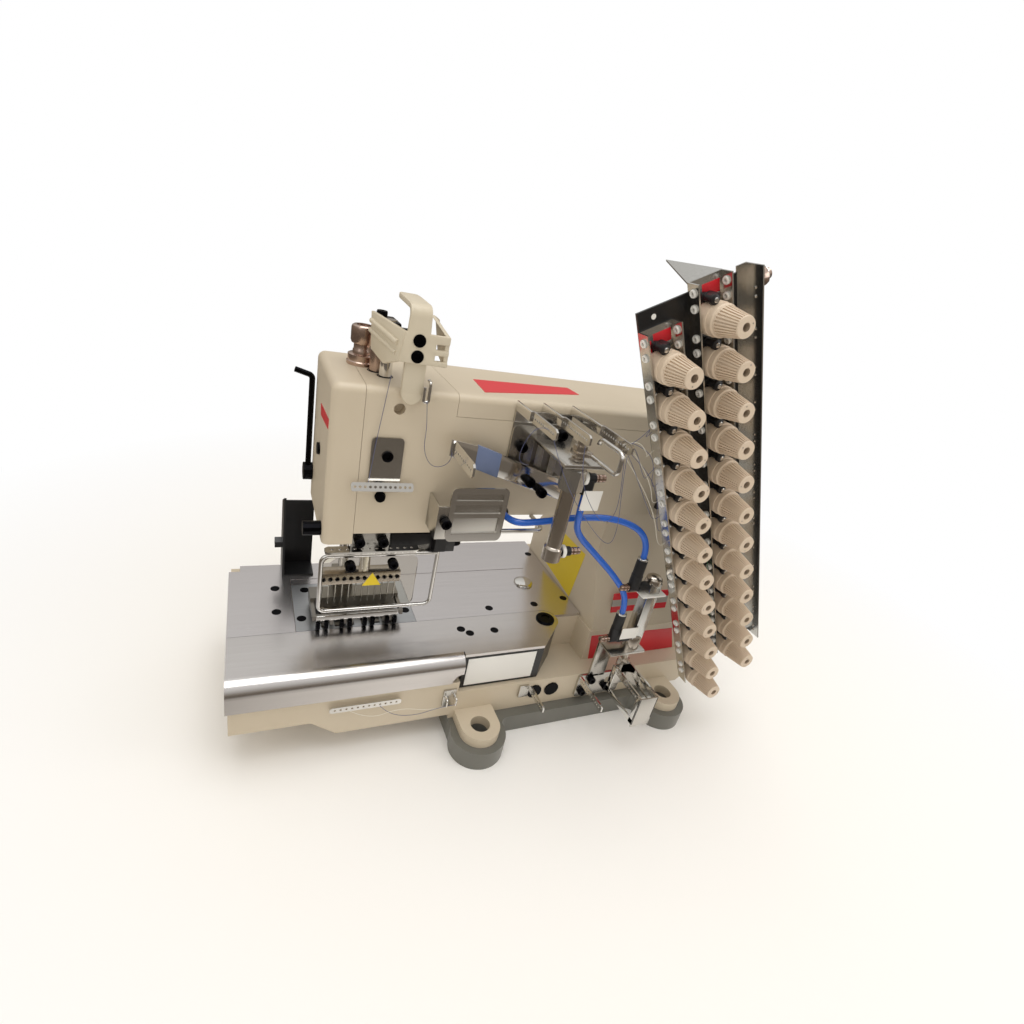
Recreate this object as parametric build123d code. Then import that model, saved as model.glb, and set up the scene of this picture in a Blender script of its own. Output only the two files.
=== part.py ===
"""Industrial sewing machine: a flat-bed chainstitch machine with twelve needles, two small air cylinders that
pull thread, and a leaning rack of thread tensions.

X runs to the right along the arm, Y to the back, Z up, in millimetres. The origin is on the table, midway
between the four fixing holes of the base.
"""
from build123d import *
import os
from math import cos, hypot, radians, sin, tan

# Seats and running fits
FIT = 0.05
PLAY = 0.4
SEAM = 0.3

# Bed casting
BED_LENGTH = 488.0
BED_RIGHT = 163.0
BED_DEPTH = 200.0
BED_FRONT = -92.0
BED_TOP = 95.0
PLATE_T = 3.0
CHIN_Z = 42.0
BELLY_Z = 25.0
FOOT_FRONT = -72.0
WELL_DEPTH = 58.0

# Oil pan and fixing lugs
PAN_LENGTH = 270.0
PAN_DEPTH = 206.0
PAN_H = 20.0
PAN_WALL = 3.0
PAN_CORNER_R = 8.0
LUG_PITCH_X = 221.0
LUG_PITCH_Y = 227.0
LUG_R = 19.5
LUG_T = 10.0
LUG_HOLE_R = 9.5
PAN_LOBE_R = 27.0

# Arm, column and head
ARM_TOP = 328.0
ARM_HEIGHT = 106.0
ARM_DEPTH = 100.0
ARM_LEFT = -233.0
HEAD_DROP = 17.0
HEAD_LENGTH = 65.0
FACE_COVER_T = 24.0
FACE_COVER_Z = 195.0
EDGE_R = 6.0
COLUMN_LEFT = 22.0
NECK_R = 24.0
LID_T = 18.0
LID_LENGTH = 250.0
SHOE_T = 11.0

# Needles, presser and feed
NEEDLES = 12
NEEDLE_PITCH = 6.0
NEEDLE_R = 1.0
NEEDLE_SIDES = 4
NEEDLE_X = -217.0
NEEDLE_Y = -18.0
NEEDLE_TIP_Z = 112.0
NEEDLE_STROKE = 28.0
NEEDLE_BAR_R = 5.0
TAKE_UP_BAR_R = 6.0
PRESSER_BAR_R = 4.5
FOOT_LIFT = 7.0
FEED_SLOTS = 6
FEED_SLOT_W = 5.4
FEED_TRAVEL = 2.0

# Swinging front cover
PIVOT_X = -25.3
PIVOT_Y = -48.4
PIVOT_R = 10.0
COVER_END_R = 14.5
COVER_DROP = 27.0
COVER_BEND_R = 12.0
SKIRT_LEFT = -129.0
SKIRT_T = 1.5

# Finger guard
GUARD_X = -157.0
GUARD_Y = -46.5
GUARD_WIRE_R = 1.75
GUARD_BEND_R = 6.0
GUARD_WIDTH = 99.0
GUARD_LOW_Z = 126.0
GUARD_HIGH_Z = 182.0

# Air cylinders
CYL_X = -78.0
CYL_Y = -105.0
CYL_R = 6.5
CYL_LOW_Z = 209.0
CYL_HIGH_Z = 298.5
SHEET_T = 2.0
LOW_CYL_X = 46.0
LOW_CYL_Z = 99.0
LOW_CYL_H = 79.0
ROD_R = 3.0
UPPER_STROKE = 25.0
LOWER_STROKE = 20.0
TRAY_WIDTH = 22.0
TRAY_LENGTH = 50.0
HOSE_R = 3.0
HOSE_SIDES = 8

# Tension rack
RACK_TILT = 28.2
RACK_X = -64.3
RACK_Z = 402.3
RACK_WEB_Y = -115.0
STRIP_END = 6.8
STRIP_WIDTH = 29.0
FLANGE_DEPTH = 12.0
STRIP_T = 1.2
COLUMN_PITCH = 43.0
COLUMN_RISE = 20.0
KNOBS_PER_COLUMN = 12
KNOB_PITCH = 32.8
FIRST_KNOB = 28.4
KNOB_R = 12.5
KNOB_END_R = 7.75
KNOB_CUP = 16.0
KNOB_LENGTH = 38.0
KNOB_BORE_R = 2.9
KNOB_SIDES = 16
KNOB_RIBS = 10
RIB_DEPTH = 0.9
STUD_R = 2.4
EYELET_R = 3.2
EYELET_PITCH = 11.0

# Handwheel
WHEEL_R = 54.0
WHEEL_T = 40.0
WHEEL_Y = 10.0
WHEEL_Z = 62.0
SHAFT_R = 9.0

# Places that follow from the sizes above
BED_LEFT = BED_RIGHT - BED_LENGTH
BED_BACK = BED_FRONT + BED_DEPTH
CAST_TOP = BED_TOP - PLATE_T
ARM_FRONT = -ARM_DEPTH / 2
ARM_BACK = ARM_DEPTH / 2
ARM_UNDER = ARM_TOP - ARM_HEIGHT
HEAD_UNDER = ARM_UNDER - HEAD_DROP
HEAD_RIGHT = ARM_LEFT + HEAD_LENGTH
SHOE_UNDER = HEAD_UNDER - SHOE_T
LID_LEFT = ARM_LEFT + 71.0
WELL_LEFT = NEEDLE_X - 45.0
WELL_RIGHT = NEEDLE_X + 67.0
WELL_FLOOR = CAST_TOP - WELL_DEPTH
SEAM_Y = -34.0
RECESS_BACK = SEAM_Y - 2.0
SKIRT_LOW = CAST_TOP - 38.0
COVER_FRONT = BED_FRONT - PLATE_T
NEEDLE_PLATE = (NEEDLE_X - 54.3, NEEDLE_X + 55.3, SEAM_Y + SEAM / 2, 38.0)
NEEDLES_X = [NEEDLE_X + NEEDLE_PITCH * (i - (NEEDLES - 1) / 2) for i in range(NEEDLES)]
FEED_X = [NEEDLE_X + 2 * NEEDLE_PITCH * (i - (FEED_SLOTS - 1) / 2) for i in range(FEED_SLOTS)]
NEEDLE_BAR = (NEEDLE_X + 3.0, NEEDLE_Y)
TAKE_UP_BAR = (NEEDLE_X - 1.0, NEEDLE_Y + 14.0)
PRESSER_BAR = (NEEDLE_X - 10.5, NEEDLE_Y + 31.0)
CLAMP_Z = NEEDLE_TIP_Z + 25.0
FOOT_Z = BED_TOP + 0.6
RACK = Plane(
    origin=(RACK_X, RACK_WEB_Y, RACK_Z),
    x_dir=(cos(radians(RACK_TILT)), 0, sin(radians(RACK_TILT))),
    z_dir=(0, -1, 0),
).location
STRIP_LENGTH = FIRST_KNOB + KNOB_PITCH * (KNOBS_PER_COLUMN - 1) + STRIP_END
KNOB_STANDOFF = 3.0
KNOB_PLACES = [
    (STRIP_WIDTH / 2 + column * COLUMN_PITCH, column * COLUMN_RISE - FIRST_KNOB - row * KNOB_PITCH)
    for column in range(2)
    for row in range(KNOBS_PER_COLUMN)
]


# Places of small pieces and routes of the hoses
LOOPER_Y = 22.0
LOOPER_Z = WELL_FLOOR + 18
LOOPER_SHAFT_R = 5.0
SHAFT_DEPTH = 45.0
FEED_SLOT_SPANS = ((NEEDLE_Y - 13, NEEDLE_Y - 4), (NEEDLE_Y + 4, NEEDLE_Y + 32))
FEED_BARS = ((NEEDLE_Y - 11, NEEDLE_Y - 6), (NEEDLE_Y + 6, NEEDLE_Y + 29))
SKIRT_Y = BED_FRONT + 4
SKIRT_CORNER = PIVOT_X - 19
COLUMN_BACK = 95.0
TAKE_UP_Z = ARM_TOP + NEEDLE_STROKE + 2
LIFTER_Y = ARM_BACK - 9
LIFTER_Z = FACE_COVER_Z + 24
CAGE_Z = ARM_TOP + 20
GUIDE_BARS = ((CYL_X - 34, CYL_Y - 15), (CYL_X - 10, CYL_Y - 23), (CYL_X + 18, CYL_Y - 37))
COMB_PITCH = 3.4
COMB_HOLE = 1.6
FORK_X = CYL_X + 8
UPPER_ENTRY = (CYL_X + 16, CYL_Y, CYL_HIGH_Z - 27)
FIRST_ENTRY = (LOW_CYL_X - 23, CYL_Y, LOW_CYL_Z + 105)
SECOND_ENTRY = (LOW_CYL_X - 25, CYL_Y, LOW_CYL_Z + 42)
HEAD_FLAT = 9.7
CAP_FLAT = 8.4
BULKHEAD = (-107, ARM_FRONT - 8, 228)
LONG_HOSE = [
    FIRST_ENTRY,
    (FIRST_ENTRY[0], FIRST_ENTRY[1], 219),
    (8, -103, 237),
    (-22, -98, 245),
    (-52, -88, 240),
    (-82, -80, 231),
    (BULKHEAD[0], -76, BULKHEAD[2]),
    BULKHEAD,
]
SHORT_HOSE = [
    SECOND_ENTRY,
    (SECOND_ENTRY[0], SECOND_ENTRY[1], 160),
    (0, -101, 184),
    (-28, -97, 208),
    (-54, -97, 230),
    (UPPER_ENTRY[0], UPPER_ENTRY[1], 252),
    UPPER_ENTRY,
]


# Shape helpers
def block(x0, x1, y0, y1, z0, z1):
    return Pos((x0 + x1) / 2, (y0 + y1) / 2, (z0 + z1) / 2) * Box(x1 - x0, y1 - y0, z1 - z0)


def upright(x, y, z0, z1, r):
    return Pos(x, y, (z0 + z1) / 2) * Cylinder(r, z1 - z0)


def along_x(x0, x1, y, z, r):
    return Pos((x0 + x1) / 2, y, z) * Rot(0, 90, 0) * Cylinder(r, x1 - x0)


def prism_z(x, y, z0, z1, r, sides=12):
    """Upright bar with flat sides, for a round piece that turns in no bore."""
    return Pos(x, y, z0) * extrude(RegularPolygon(r, sides), z1 - z0)


def prism_x(x0, x1, y, z, r, sides=12):
    return Pos(x0, y, z) * Rot(0, 90, 0) * extrude(RegularPolygon(r, sides), x1 - x0)


def prism_y(x, y0, y1, z, r, sides=12):
    return Pos(x, y1, z) * Rot(90, 0, 0) * extrude(RegularPolygon(r, sides), y1 - y0)


def polygon(*points):
    """A flat face through the points, facing up whichever way round they are listed."""
    area = sum(x0 * y1 - x1 * y0 for (x0, y0), (x1, y1) in zip(points, points[1:] + points[:1]))
    return Polygon(*(points if area > 0 else points[::-1]), align=None)


def plan(points, z0, z1):
    return Pos(0, 0, z0) * extrude(polygon(*points), z1 - z0)


def front_view(face, y0, y1):
    """A face drawn in X and Z, as deep as from y0 to y1."""
    plane = Plane(origin=(0, y1, 0), x_dir=(1, 0, 0), z_dir=(0, -1, 0))
    return plane.location * extrude(face, y1 - y0)


def side_view(face, x0, x1):
    """A face drawn in Y and Z, as wide as from x0 to x1."""
    plane = Plane(origin=(x0, 0, 0), x_dir=(0, 1, 0), z_dir=(1, 0, 0))
    return plane.location * extrude(face, x1 - x0)


def bent_wire(points, wire_r, bend_r, sides=6):
    path = FilletPolyline(*points, radius=bend_r)
    section = Plane(origin=path @ 0, z_dir=path % 0) * RegularPolygon(wire_r, sides)
    return sweep(section, path)


def tube(points, radius):
    """A hose of straight runs and arcs, each arc as large as its runs allow."""
    vectors = [Vector(*p) for p in points]
    runs = [b - a for a, b in zip(vectors, vectors[1:])]
    radii = []
    for before, after in zip(runs, runs[1:]):
        turn = radians(before.get_angle(after))
        radii.append(0.45 * min(before.length, after.length) / tan(turn / 2))
    print("hose bends", [round(r, 1) for r in radii], "length", round(sum(r.length for r in runs)))
    path = FilletPolyline(*points, radius=radii)
    section = Plane(origin=path @ 0, z_dir=path % 0) * RegularPolygon(radius, HOSE_SIDES)
    return sweep(section, path)


def save(name, shape):
    export_step(shape, f"parts/{name}.step")


# Bed
def lug_places():
    return [(sx * LUG_PITCH_X / 2, sy * LUG_PITCH_Y / 2) for sx in (-1, 1) for sy in (-1, 1)]


def bed_casting():
    profile = polygon(
        (BED_LEFT, CHIN_Z),
        (BED_LEFT + 63, CHIN_Z),
        (BED_LEFT + 85, BELLY_Z),
        (-PAN_LENGTH / 2, BELLY_Z),
        (-PAN_LENGTH / 2, PAN_H),
        (BED_RIGHT - 13, PAN_H),
        (BED_RIGHT, PAN_H + 13),
        (BED_RIGHT, CAST_TOP),
        (BED_LEFT, CAST_TOP),
    )
    body = front_view(profile, BED_FRONT, BED_BACK)
    body -= plan(
        [(BED_LEFT - 1, BED_BACK - 32), (-230, BED_BACK - 32), (-200, BED_BACK + 1), (BED_LEFT - 1, BED_BACK + 1)],
        0,
        CAST_TOP + 1,
    )
    for x, y in lug_places():
        edge = BED_FRONT + 1 if y < 0 else BED_BACK - 1
        body += upright(x, y, PAN_H, PAN_H + LUG_T, LUG_R)
        body += block(x - LUG_R, x + LUG_R, min(y, edge), max(y, edge), PAN_H, PAN_H + LUG_T)
    for x, y in lug_places():
        body -= upright(x, y, 0, PAN_H + LUG_T + 1, LUG_HOLE_R)
    over = CAST_TOP + 1
    cover_floor = BED_TOP - COVER_DROP - 2
    body -= block(BED_LEFT - 1, SKIRT_LEFT, BED_FRONT - 1, RECESS_BACK, cover_floor, over)
    body -= block(SKIRT_LEFT - 1, PIVOT_X, BED_FRONT - 1, RECESS_BACK, SKIRT_LOW - 0.5, over)
    notch_r = COVER_END_R + 1.5
    body -= block(PIVOT_X - 1, COLUMN_LEFT - 3, BED_FRONT - 1, SEAM_Y - 10.5, SKIRT_LOW - 0.5, over)
    body -= block(COLUMN_LEFT - 4, BED_RIGHT + 1, BED_FRONT - 1, FOOT_FRONT, SKIRT_LOW - 0.5, over)
    body -= upright(PIVOT_X, PIVOT_Y, SKIRT_LOW - 0.5, over, notch_r)
    body += upright(PIVOT_X, PIVOT_Y, SKIRT_LOW - 1, CAST_TOP - 0.2, PIVOT_R)
    body -= block(WELL_LEFT, WELL_RIGHT, BED_FRONT + 12, 55, WELL_FLOOR, over)
    body -= along_x(WELL_LEFT - 8, WELL_RIGHT + 8, LOOPER_Y, LOOPER_Z, LOOPER_SHAFT_R + FIT)
    body -= along_x(BED_RIGHT - SHAFT_DEPTH, BED_RIGHT + 1, WHEEL_Y, WHEEL_Z, SHAFT_R + FIT)
    return body


def oil_pan():
    outline = Rectangle(PAN_LENGTH, PAN_DEPTH)
    for x, y in lug_places():
        outline += Pos(x, y) * Circle(PAN_LOBE_R)
    body = extrude(offset(offset(outline, PAN_CORNER_R), -PAN_CORNER_R), PAN_H)
    inner = block(
        -PAN_LENGTH / 2 + 30, PAN_LENGTH / 2 - 30, -PAN_DEPTH / 2 + 12, PAN_DEPTH / 2 - 12, PAN_WALL, PAN_H + 1
    )
    body -= inner
    for x, y in lug_places():
        body -= upright(x, y, -1, PAN_H + 1, LUG_HOLE_R)
    return body


def bed_plates():
    left, right, front, back = NEEDLE_PLATE
    edge = COLUMN_LEFT - 0.5
    rear = plan(
        [
            (edge, BED_BACK + 2),
            (-200, BED_BACK + 2),
            (-230, BED_BACK - 32),
            (left - SEAM / 2, BED_BACK - 32),
            (left - SEAM / 2, back + SEAM),
            (right + SEAM, back + SEAM),
            (right + SEAM, SEAM_Y + SEAM / 2),
            (PIVOT_X, SEAM_Y + SEAM / 2),
            (PIVOT_X, SEAM_Y - 9.7),
            (edge, SEAM_Y - 9.7),
        ],
        CAST_TOP,
        BED_TOP,
    )
    rear -= upright(PIVOT_X, PIVOT_Y, CAST_TOP - 1, BED_TOP + 1, COVER_END_R + 0.5)
    rear -= block(left - 1, edge - 30, 47, 48, BED_TOP - 0.6, BED_TOP + 1)
    side = block(BED_LEFT - 2, left - 1.5 * SEAM, SEAM_Y + SEAM / 2, BED_BACK - 32, CAST_TOP, BED_TOP)
    side -= block(BED_LEFT - 3, BED_LEFT + 8, BED_BACK - 42, BED_BACK, CAST_TOP - 1, BED_TOP + 1)
    return Compound(children=[rear, side])


def needle_plate():
    left, right, front, back = NEEDLE_PLATE
    plate = block(left, right, front, back, CAST_TOP, BED_TOP)
    plate -= block(
        NEEDLES_X[0] - 3, NEEDLES_X[-1] + 3, NEEDLE_Y - 2, NEEDLE_Y + 2, CAST_TOP - 1, BED_TOP + 1
    )
    for x in FEED_X:
        for y0, y1 in FEED_SLOT_SPANS:
            plate -= block(
                x - FEED_SLOT_W / 2, x + FEED_SLOT_W / 2, y0, y1, CAST_TOP - 1, BED_TOP + 1
            )
    return plate


def feed_dog():
    low = CAST_TOP - 12
    body = block(FEED_X[0] - 9, FEED_X[0] - 5, FEED_BARS[0][0], FEED_BARS[1][1], low, low + 5)
    body += block(FEED_X[-1] + 5, FEED_X[-1] + 9, FEED_BARS[0][0], FEED_BARS[1][1], low, low + 5)
    for (y0, y1), (slot0, slot1) in zip(FEED_BARS, FEED_SLOT_SPANS):
        body += block(FEED_X[0] - 6, FEED_X[-1] + 6, y0, y1, low, low + 5)
        for x in FEED_X:
            half = FEED_SLOT_W / 2 - PLAY
            reach = FEED_TRAVEL + PLAY
            body += block(x - half, x + half, slot0 + reach, slot1 - reach, low + 4, BED_TOP - 0.2)
    return body


def looper_rocker():
    body = along_x(WELL_LEFT - 7, WELL_RIGHT + 7, LOOPER_Y, LOOPER_Z, LOOPER_SHAFT_R)
    for x in (NEEDLES_X[0] - 2, NEEDLES_X[-1] - 4):
        body += block(x, x + 6, NEEDLE_Y - 2, LOOPER_Y, LOOPER_Z, LOOPER_Z + 5)
    body += block(NEEDLES_X[0] - 2, NEEDLES_X[-1] + 2, NEEDLE_Y - 4, NEEDLE_Y + 4, LOOPER_Z, LOOPER_Z + 7)
    hook = polygon(
        (NEEDLE_Y - 3, LOOPER_Z + 6),
        (NEEDLE_Y + 2, LOOPER_Z + 6),
        (NEEDLE_Y + 1, LOOPER_Z + 18),
        (NEEDLE_Y - 3, LOOPER_Z + 24),
    )
    for x in NEEDLES_X:
        body += side_view(hook, x - 0.9, x + 0.9)
    return body


# Front cover
def cover_outline(inset):
    """The cover's plan from the left end to the round end at its pivot, each side drawn in by the inset."""
    return [
        (BED_LEFT - 2 + inset, SEAM_Y - SEAM / 2 - inset),
        (PIVOT_X, SEAM_Y - SEAM / 2 - inset),
        (PIVOT_X + 9.5, PIVOT_Y - 10.7),
        (SKIRT_CORNER, SKIRT_Y + inset),
        (SKIRT_LEFT, SKIRT_Y + inset),
        (SKIRT_LEFT, COVER_FRONT + inset),
        (BED_LEFT - 2 + inset, COVER_FRONT + inset),
    ]


def front_cover():
    plate = plan(cover_outline(0), CAST_TOP, BED_TOP)
    plate -= block(PIVOT_X, PIVOT_X + 30, PIVOT_Y, SEAM_Y + 5, CAST_TOP - 1, BED_TOP + 1)
    plate += upright(PIVOT_X, PIVOT_Y, CAST_TOP, BED_TOP, COVER_END_R)
    low = BED_TOP - COVER_DROP
    thick = PLATE_T - 0.5
    flange = block(BED_LEFT - 2, SKIRT_LEFT, COVER_FRONT, COVER_FRONT + thick, low, BED_TOP)
    body = plate + flange
    corner = block(
        BED_LEFT - 3, SKIRT_LEFT + 1, COVER_FRONT - 1, COVER_FRONT + COVER_BEND_R, BED_TOP - COVER_BEND_R, BED_TOP + 1
    )
    inner_r = COVER_BEND_R - thick
    y_axis = COVER_FRONT + COVER_BEND_R
    z_axis = BED_TOP - COVER_BEND_R
    ring = along_x(BED_LEFT - 2, SKIRT_LEFT, y_axis, z_axis, COVER_BEND_R)
    ring -= along_x(BED_LEFT - 3, SKIRT_LEFT + 1, y_axis, z_axis, inner_r)
    body = body - corner + (ring & corner)
    body -= prism_y(SKIRT_LEFT, COVER_FRONT - 1, COVER_FRONT + thick + 0.1, low, 10, 24)
    body -= upright(PIVOT_X, PIVOT_Y, CAST_TOP - 1, BED_TOP + 1, PIVOT_R + FIT)
    return body


def cover_skirt():
    """A strip folded round the cover's right end, standing in the recess under it."""
    outer = [
        (SKIRT_LEFT + 1, SKIRT_Y + 0.5),
        (SKIRT_CORNER + 0.3, SKIRT_Y + 0.5),
        (PIVOT_X + 8.5, PIVOT_Y - 11),
    ]
    slope = (PIVOT_Y - 11 - SKIRT_Y - 0.5) / (PIVOT_X + 8.5 - SKIRT_CORNER - 0.3)
    shift = SKIRT_T * hypot(1, slope)
    inner = [
        (PIVOT_X + 8.5 - shift / slope, PIVOT_Y - 11),
        (SKIRT_CORNER + 0.3 + SKIRT_T / slope - shift / slope, SKIRT_Y + 0.5 + SKIRT_T),
        (SKIRT_LEFT + 1, SKIRT_Y + 0.5 + SKIRT_T),
    ]
    return plan(outer + inner, SKIRT_LOW, CAST_TOP)


# Arm
def machine_outline():
    """Arm, column and face cover as one rounded body, from which the covers are parted."""
    arm = front_view(
        polygon(
            (ARM_LEFT - FACE_COVER_T, FACE_COVER_Z),
            (ARM_LEFT, FACE_COVER_Z),
            (ARM_LEFT, HEAD_UNDER),
            (HEAD_RIGHT, HEAD_UNDER),
            (HEAD_RIGHT + 64, ARM_UNDER),
            (BED_RIGHT, ARM_UNDER),
            (BED_RIGHT, ARM_TOP),
            (ARM_LEFT - FACE_COVER_T, ARM_TOP),
        ),
        ARM_FRONT,
        ARM_BACK,
    )
    top_edges = arm.edges().filter_by(Axis.X).group_by(Axis.Z)[-1]
    arm = fillet(top_edges, EDGE_R)
    end_edges = arm.edges().filter_by(Axis.Z).group_by(Axis.X)[0]
    arm = fillet(end_edges, EDGE_R)
    neck_z = ARM_UNDER - 22
    front = [
        Line((ARM_FRONT + 4, ARM_UNDER + 20), (ARM_FRONT + 4, ARM_UNDER + 1)),
        Spline(
            (ARM_FRONT + 4, ARM_UNDER + 1),
            (ARM_FRONT + 10, neck_z),
            (FOOT_FRONT + 5, CAST_TOP + 14),
            tangents=[(1, -3), (-0.4, -1)],
        ),
        Line((FOOT_FRONT + 5, CAST_TOP + 14), (FOOT_FRONT + 1, CAST_TOP)),
        Line((FOOT_FRONT + 1, CAST_TOP), (COLUMN_BACK, CAST_TOP)),
        Line((COLUMN_BACK, CAST_TOP), (COLUMN_BACK, CAST_TOP + 40)),
        ThreePointArc(
            (COLUMN_BACK, CAST_TOP + 40), (COLUMN_BACK - 24, neck_z - 30), (ARM_BACK - 4, ARM_UNDER + 1)
        ),
        Line((ARM_BACK - 4, ARM_UNDER + 1), (ARM_BACK - 4, ARM_UNDER + 20)),
        Line((ARM_BACK - 4, ARM_UNDER + 20), (ARM_FRONT + 4, ARM_UNDER + 20)),
    ]
    column = side_view(make_face(front), COLUMN_LEFT, BED_RIGHT)
    curve = make_face(
        [
            Line((COLUMN_LEFT - NECK_R, ARM_UNDER + 2), (COLUMN_LEFT - NECK_R, ARM_UNDER)),
            ThreePointArc(
                (COLUMN_LEFT - NECK_R, ARM_UNDER),
                (COLUMN_LEFT - NECK_R * (1 - sin(radians(45))), ARM_UNDER - NECK_R * (1 - cos(radians(45)))),
                (COLUMN_LEFT, ARM_UNDER - NECK_R),
            ),
            Line((COLUMN_LEFT, ARM_UNDER - NECK_R), (COLUMN_LEFT + 2, ARM_UNDER - NECK_R)),
            Line((COLUMN_LEFT + 2, ARM_UNDER - NECK_R), (COLUMN_LEFT + 2, ARM_UNDER + 2)),
            Line((COLUMN_LEFT + 2, ARM_UNDER + 2), (COLUMN_LEFT - NECK_R, ARM_UNDER + 2)),
        ]
    )
    neck = front_view(curve, ARM_FRONT + 10, ARM_BACK - 4)
    return arm + column + neck


def lid_space(grow):
    return block(
        LID_LEFT - grow, LID_LEFT + LID_LENGTH + grow, ARM_FRONT - 1, ARM_BACK + 1, ARM_TOP - LID_T - grow, ARM_TOP + 1
    )


def arm_casting(outline):
    body = outline - block(ARM_LEFT - FACE_COVER_T - 1, ARM_LEFT, ARM_FRONT - 1, ARM_BACK + 1, 0, ARM_TOP + 1)
    body -= lid_space(0)
    low = SHOE_UNDER - 1
    body -= upright(*NEEDLE_BAR, low, ARM_TOP + 1, NEEDLE_BAR_R + FIT)
    body -= upright(*TAKE_UP_BAR, ARM_TOP - 40, ARM_TOP + 1, TAKE_UP_BAR_R + FIT)
    body -= upright(*PRESSER_BAR, low, ARM_TOP - 10, PRESSER_BAR_R + FIT)
    body -= prism_y(NEEDLE_X + 9.5, ARM_FRONT - 1, ARM_FRONT + 8, ARM_TOP - 15.4, 4.5)
    return body


def face_cover(outline):
    space = block(
        ARM_LEFT - FACE_COVER_T - 1, ARM_LEFT - SEAM, ARM_FRONT - 1, ARM_BACK + 1, FACE_COVER_Z - 1, ARM_TOP + 1
    )
    return outline & space


def top_cover(outline):
    return outline & lid_space(-SEAM)


def shoe_plate():
    """Black plate that closes the head from below and runs up under the arm."""
    slope = (ARM_UNDER - HEAD_UNDER) / 64
    rise = 56 * slope
    face = polygon(
        (ARM_LEFT + 1, HEAD_UNDER),
        (HEAD_RIGHT, HEAD_UNDER),
        (HEAD_RIGHT + 56, HEAD_UNDER + rise),
        (HEAD_RIGHT + 56, HEAD_UNDER + rise - 8),
        (HEAD_RIGHT + 8, SHOE_UNDER),
        (ARM_LEFT + 1, SHOE_UNDER),
    )
    body = front_view(face, ARM_FRONT + 8, ARM_BACK - 8)
    body -= upright(*NEEDLE_BAR, SHOE_UNDER - 1, ARM_TOP, NEEDLE_BAR_R + FIT)
    body -= upright(*PRESSER_BAR, SHOE_UNDER - 1, ARM_TOP, PRESSER_BAR_R + FIT)
    return body


def black_bracket():
    """Folded sheet that stands on the left bed plate behind the head."""
    x = ARM_LEFT - FACE_COVER_T - 22
    y = ARM_BACK + 4
    wall = side_view(
        polygon((y, BED_TOP), (y + 26, BED_TOP), (y + 26, FACE_COVER_Z - 26), (y, FACE_COVER_Z - 11)), x, x + SHEET_T
    )
    back = block(x, x + 30, y + 24, y + 26, BED_TOP, FACE_COVER_Z - 26)
    foot = block(x, x + 30, y, y + 26, BED_TOP, BED_TOP + SHEET_T)
    nut = prism_x(x - 7, x + 1, y + 8, BED_TOP + 36, 6, 6)
    return wall + back + foot + nut


# Screws and caps
def machine_screws():
    pivot = upright(PIVOT_X, PIVOT_Y, CAST_TOP - 0.2, BED_TOP + 0.6, PIVOT_R)
    pivot -= Pos(PIVOT_X, PIVOT_Y, BED_TOP - 3) * extrude(RegularPolygon(4.6, 6), 4)
    cap = prism_z(-22, 18, BED_TOP, BED_TOP + 1.5, 11, 16)
    solids = [pivot, cap]
    for x in (-45, -25):
        solids.append(prism_y(x, BED_FRONT - 1.5, BED_FRONT, PAN_H + 19, 8))
    end_x = ARM_LEFT - FACE_COVER_T
    solids.append(prism_x(end_x - 2, end_x, 0, 258, 5))
    solids.append(prism_x(end_x - 14, end_x, ARM_FRONT + 12, FACE_COVER_Z + 9, 6))
    solids.append(prism_y(NEEDLE_X + 2, ARM_FRONT - 3, ARM_FRONT, 239, 4))
    return Compound(children=solids + [pressure_bush(), lifter_pin()])


# Head
def needle_bar():
    x, y = NEEDLE_BAR
    top = TAKE_UP_Z + 13
    body = upright(x, y, CLAMP_Z + 1, top, NEEDLE_BAR_R)
    body += block(NEEDLES_X[0] - 3, NEEDLES_X[-1] + 3, y - 6, y + 6, CLAMP_Z, CLAMP_Z + 12)
    for needle_x in NEEDLES_X:
        shank = prism_z(needle_x, y, NEEDLE_TIP_Z + 4, CLAMP_Z + 1, NEEDLE_R, NEEDLE_SIDES)
        tip = loft(
            [
                Pos(needle_x, y, NEEDLE_TIP_Z) * RegularPolygon(0.25, NEEDLE_SIDES),
                Pos(needle_x, y, NEEDLE_TIP_Z + 4) * RegularPolygon(NEEDLE_R, NEEDLE_SIDES),
            ]
        )
        body += shank + tip
    return body


def take_up_lever():
    """Black block on the needle bar with its second rod and the thread horn."""
    x, y = NEEDLE_BAR
    rod_x, rod_y = TAKE_UP_BAR
    rod_body = upright(rod_x, rod_y, ARM_TOP - 10, TAKE_UP_Z + 2, TAKE_UP_BAR_R)
    yoke = block(rod_x - 7, x + 7, y - 7, rod_y + 7, TAKE_UP_Z, TAKE_UP_Z + 12)
    horn = block(x + 5, x + 22, y - 3, y + 3, TAKE_UP_Z + 3, TAKE_UP_Z + 8)
    horn += block(x + 19, x + 22, y - 3, y + 3, TAKE_UP_Z + 3, TAKE_UP_Z + 16)
    body = rod_body + yoke + horn
    return body - upright(x, y, TAKE_UP_Z - 1, TAKE_UP_Z + 14, NEEDLE_BAR_R)


def presser_bar():
    return upright(*PRESSER_BAR, FOOT_Z + 20, ARM_TOP - 10 - FOOT_LIFT - 1, PRESSER_BAR_R)


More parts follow.
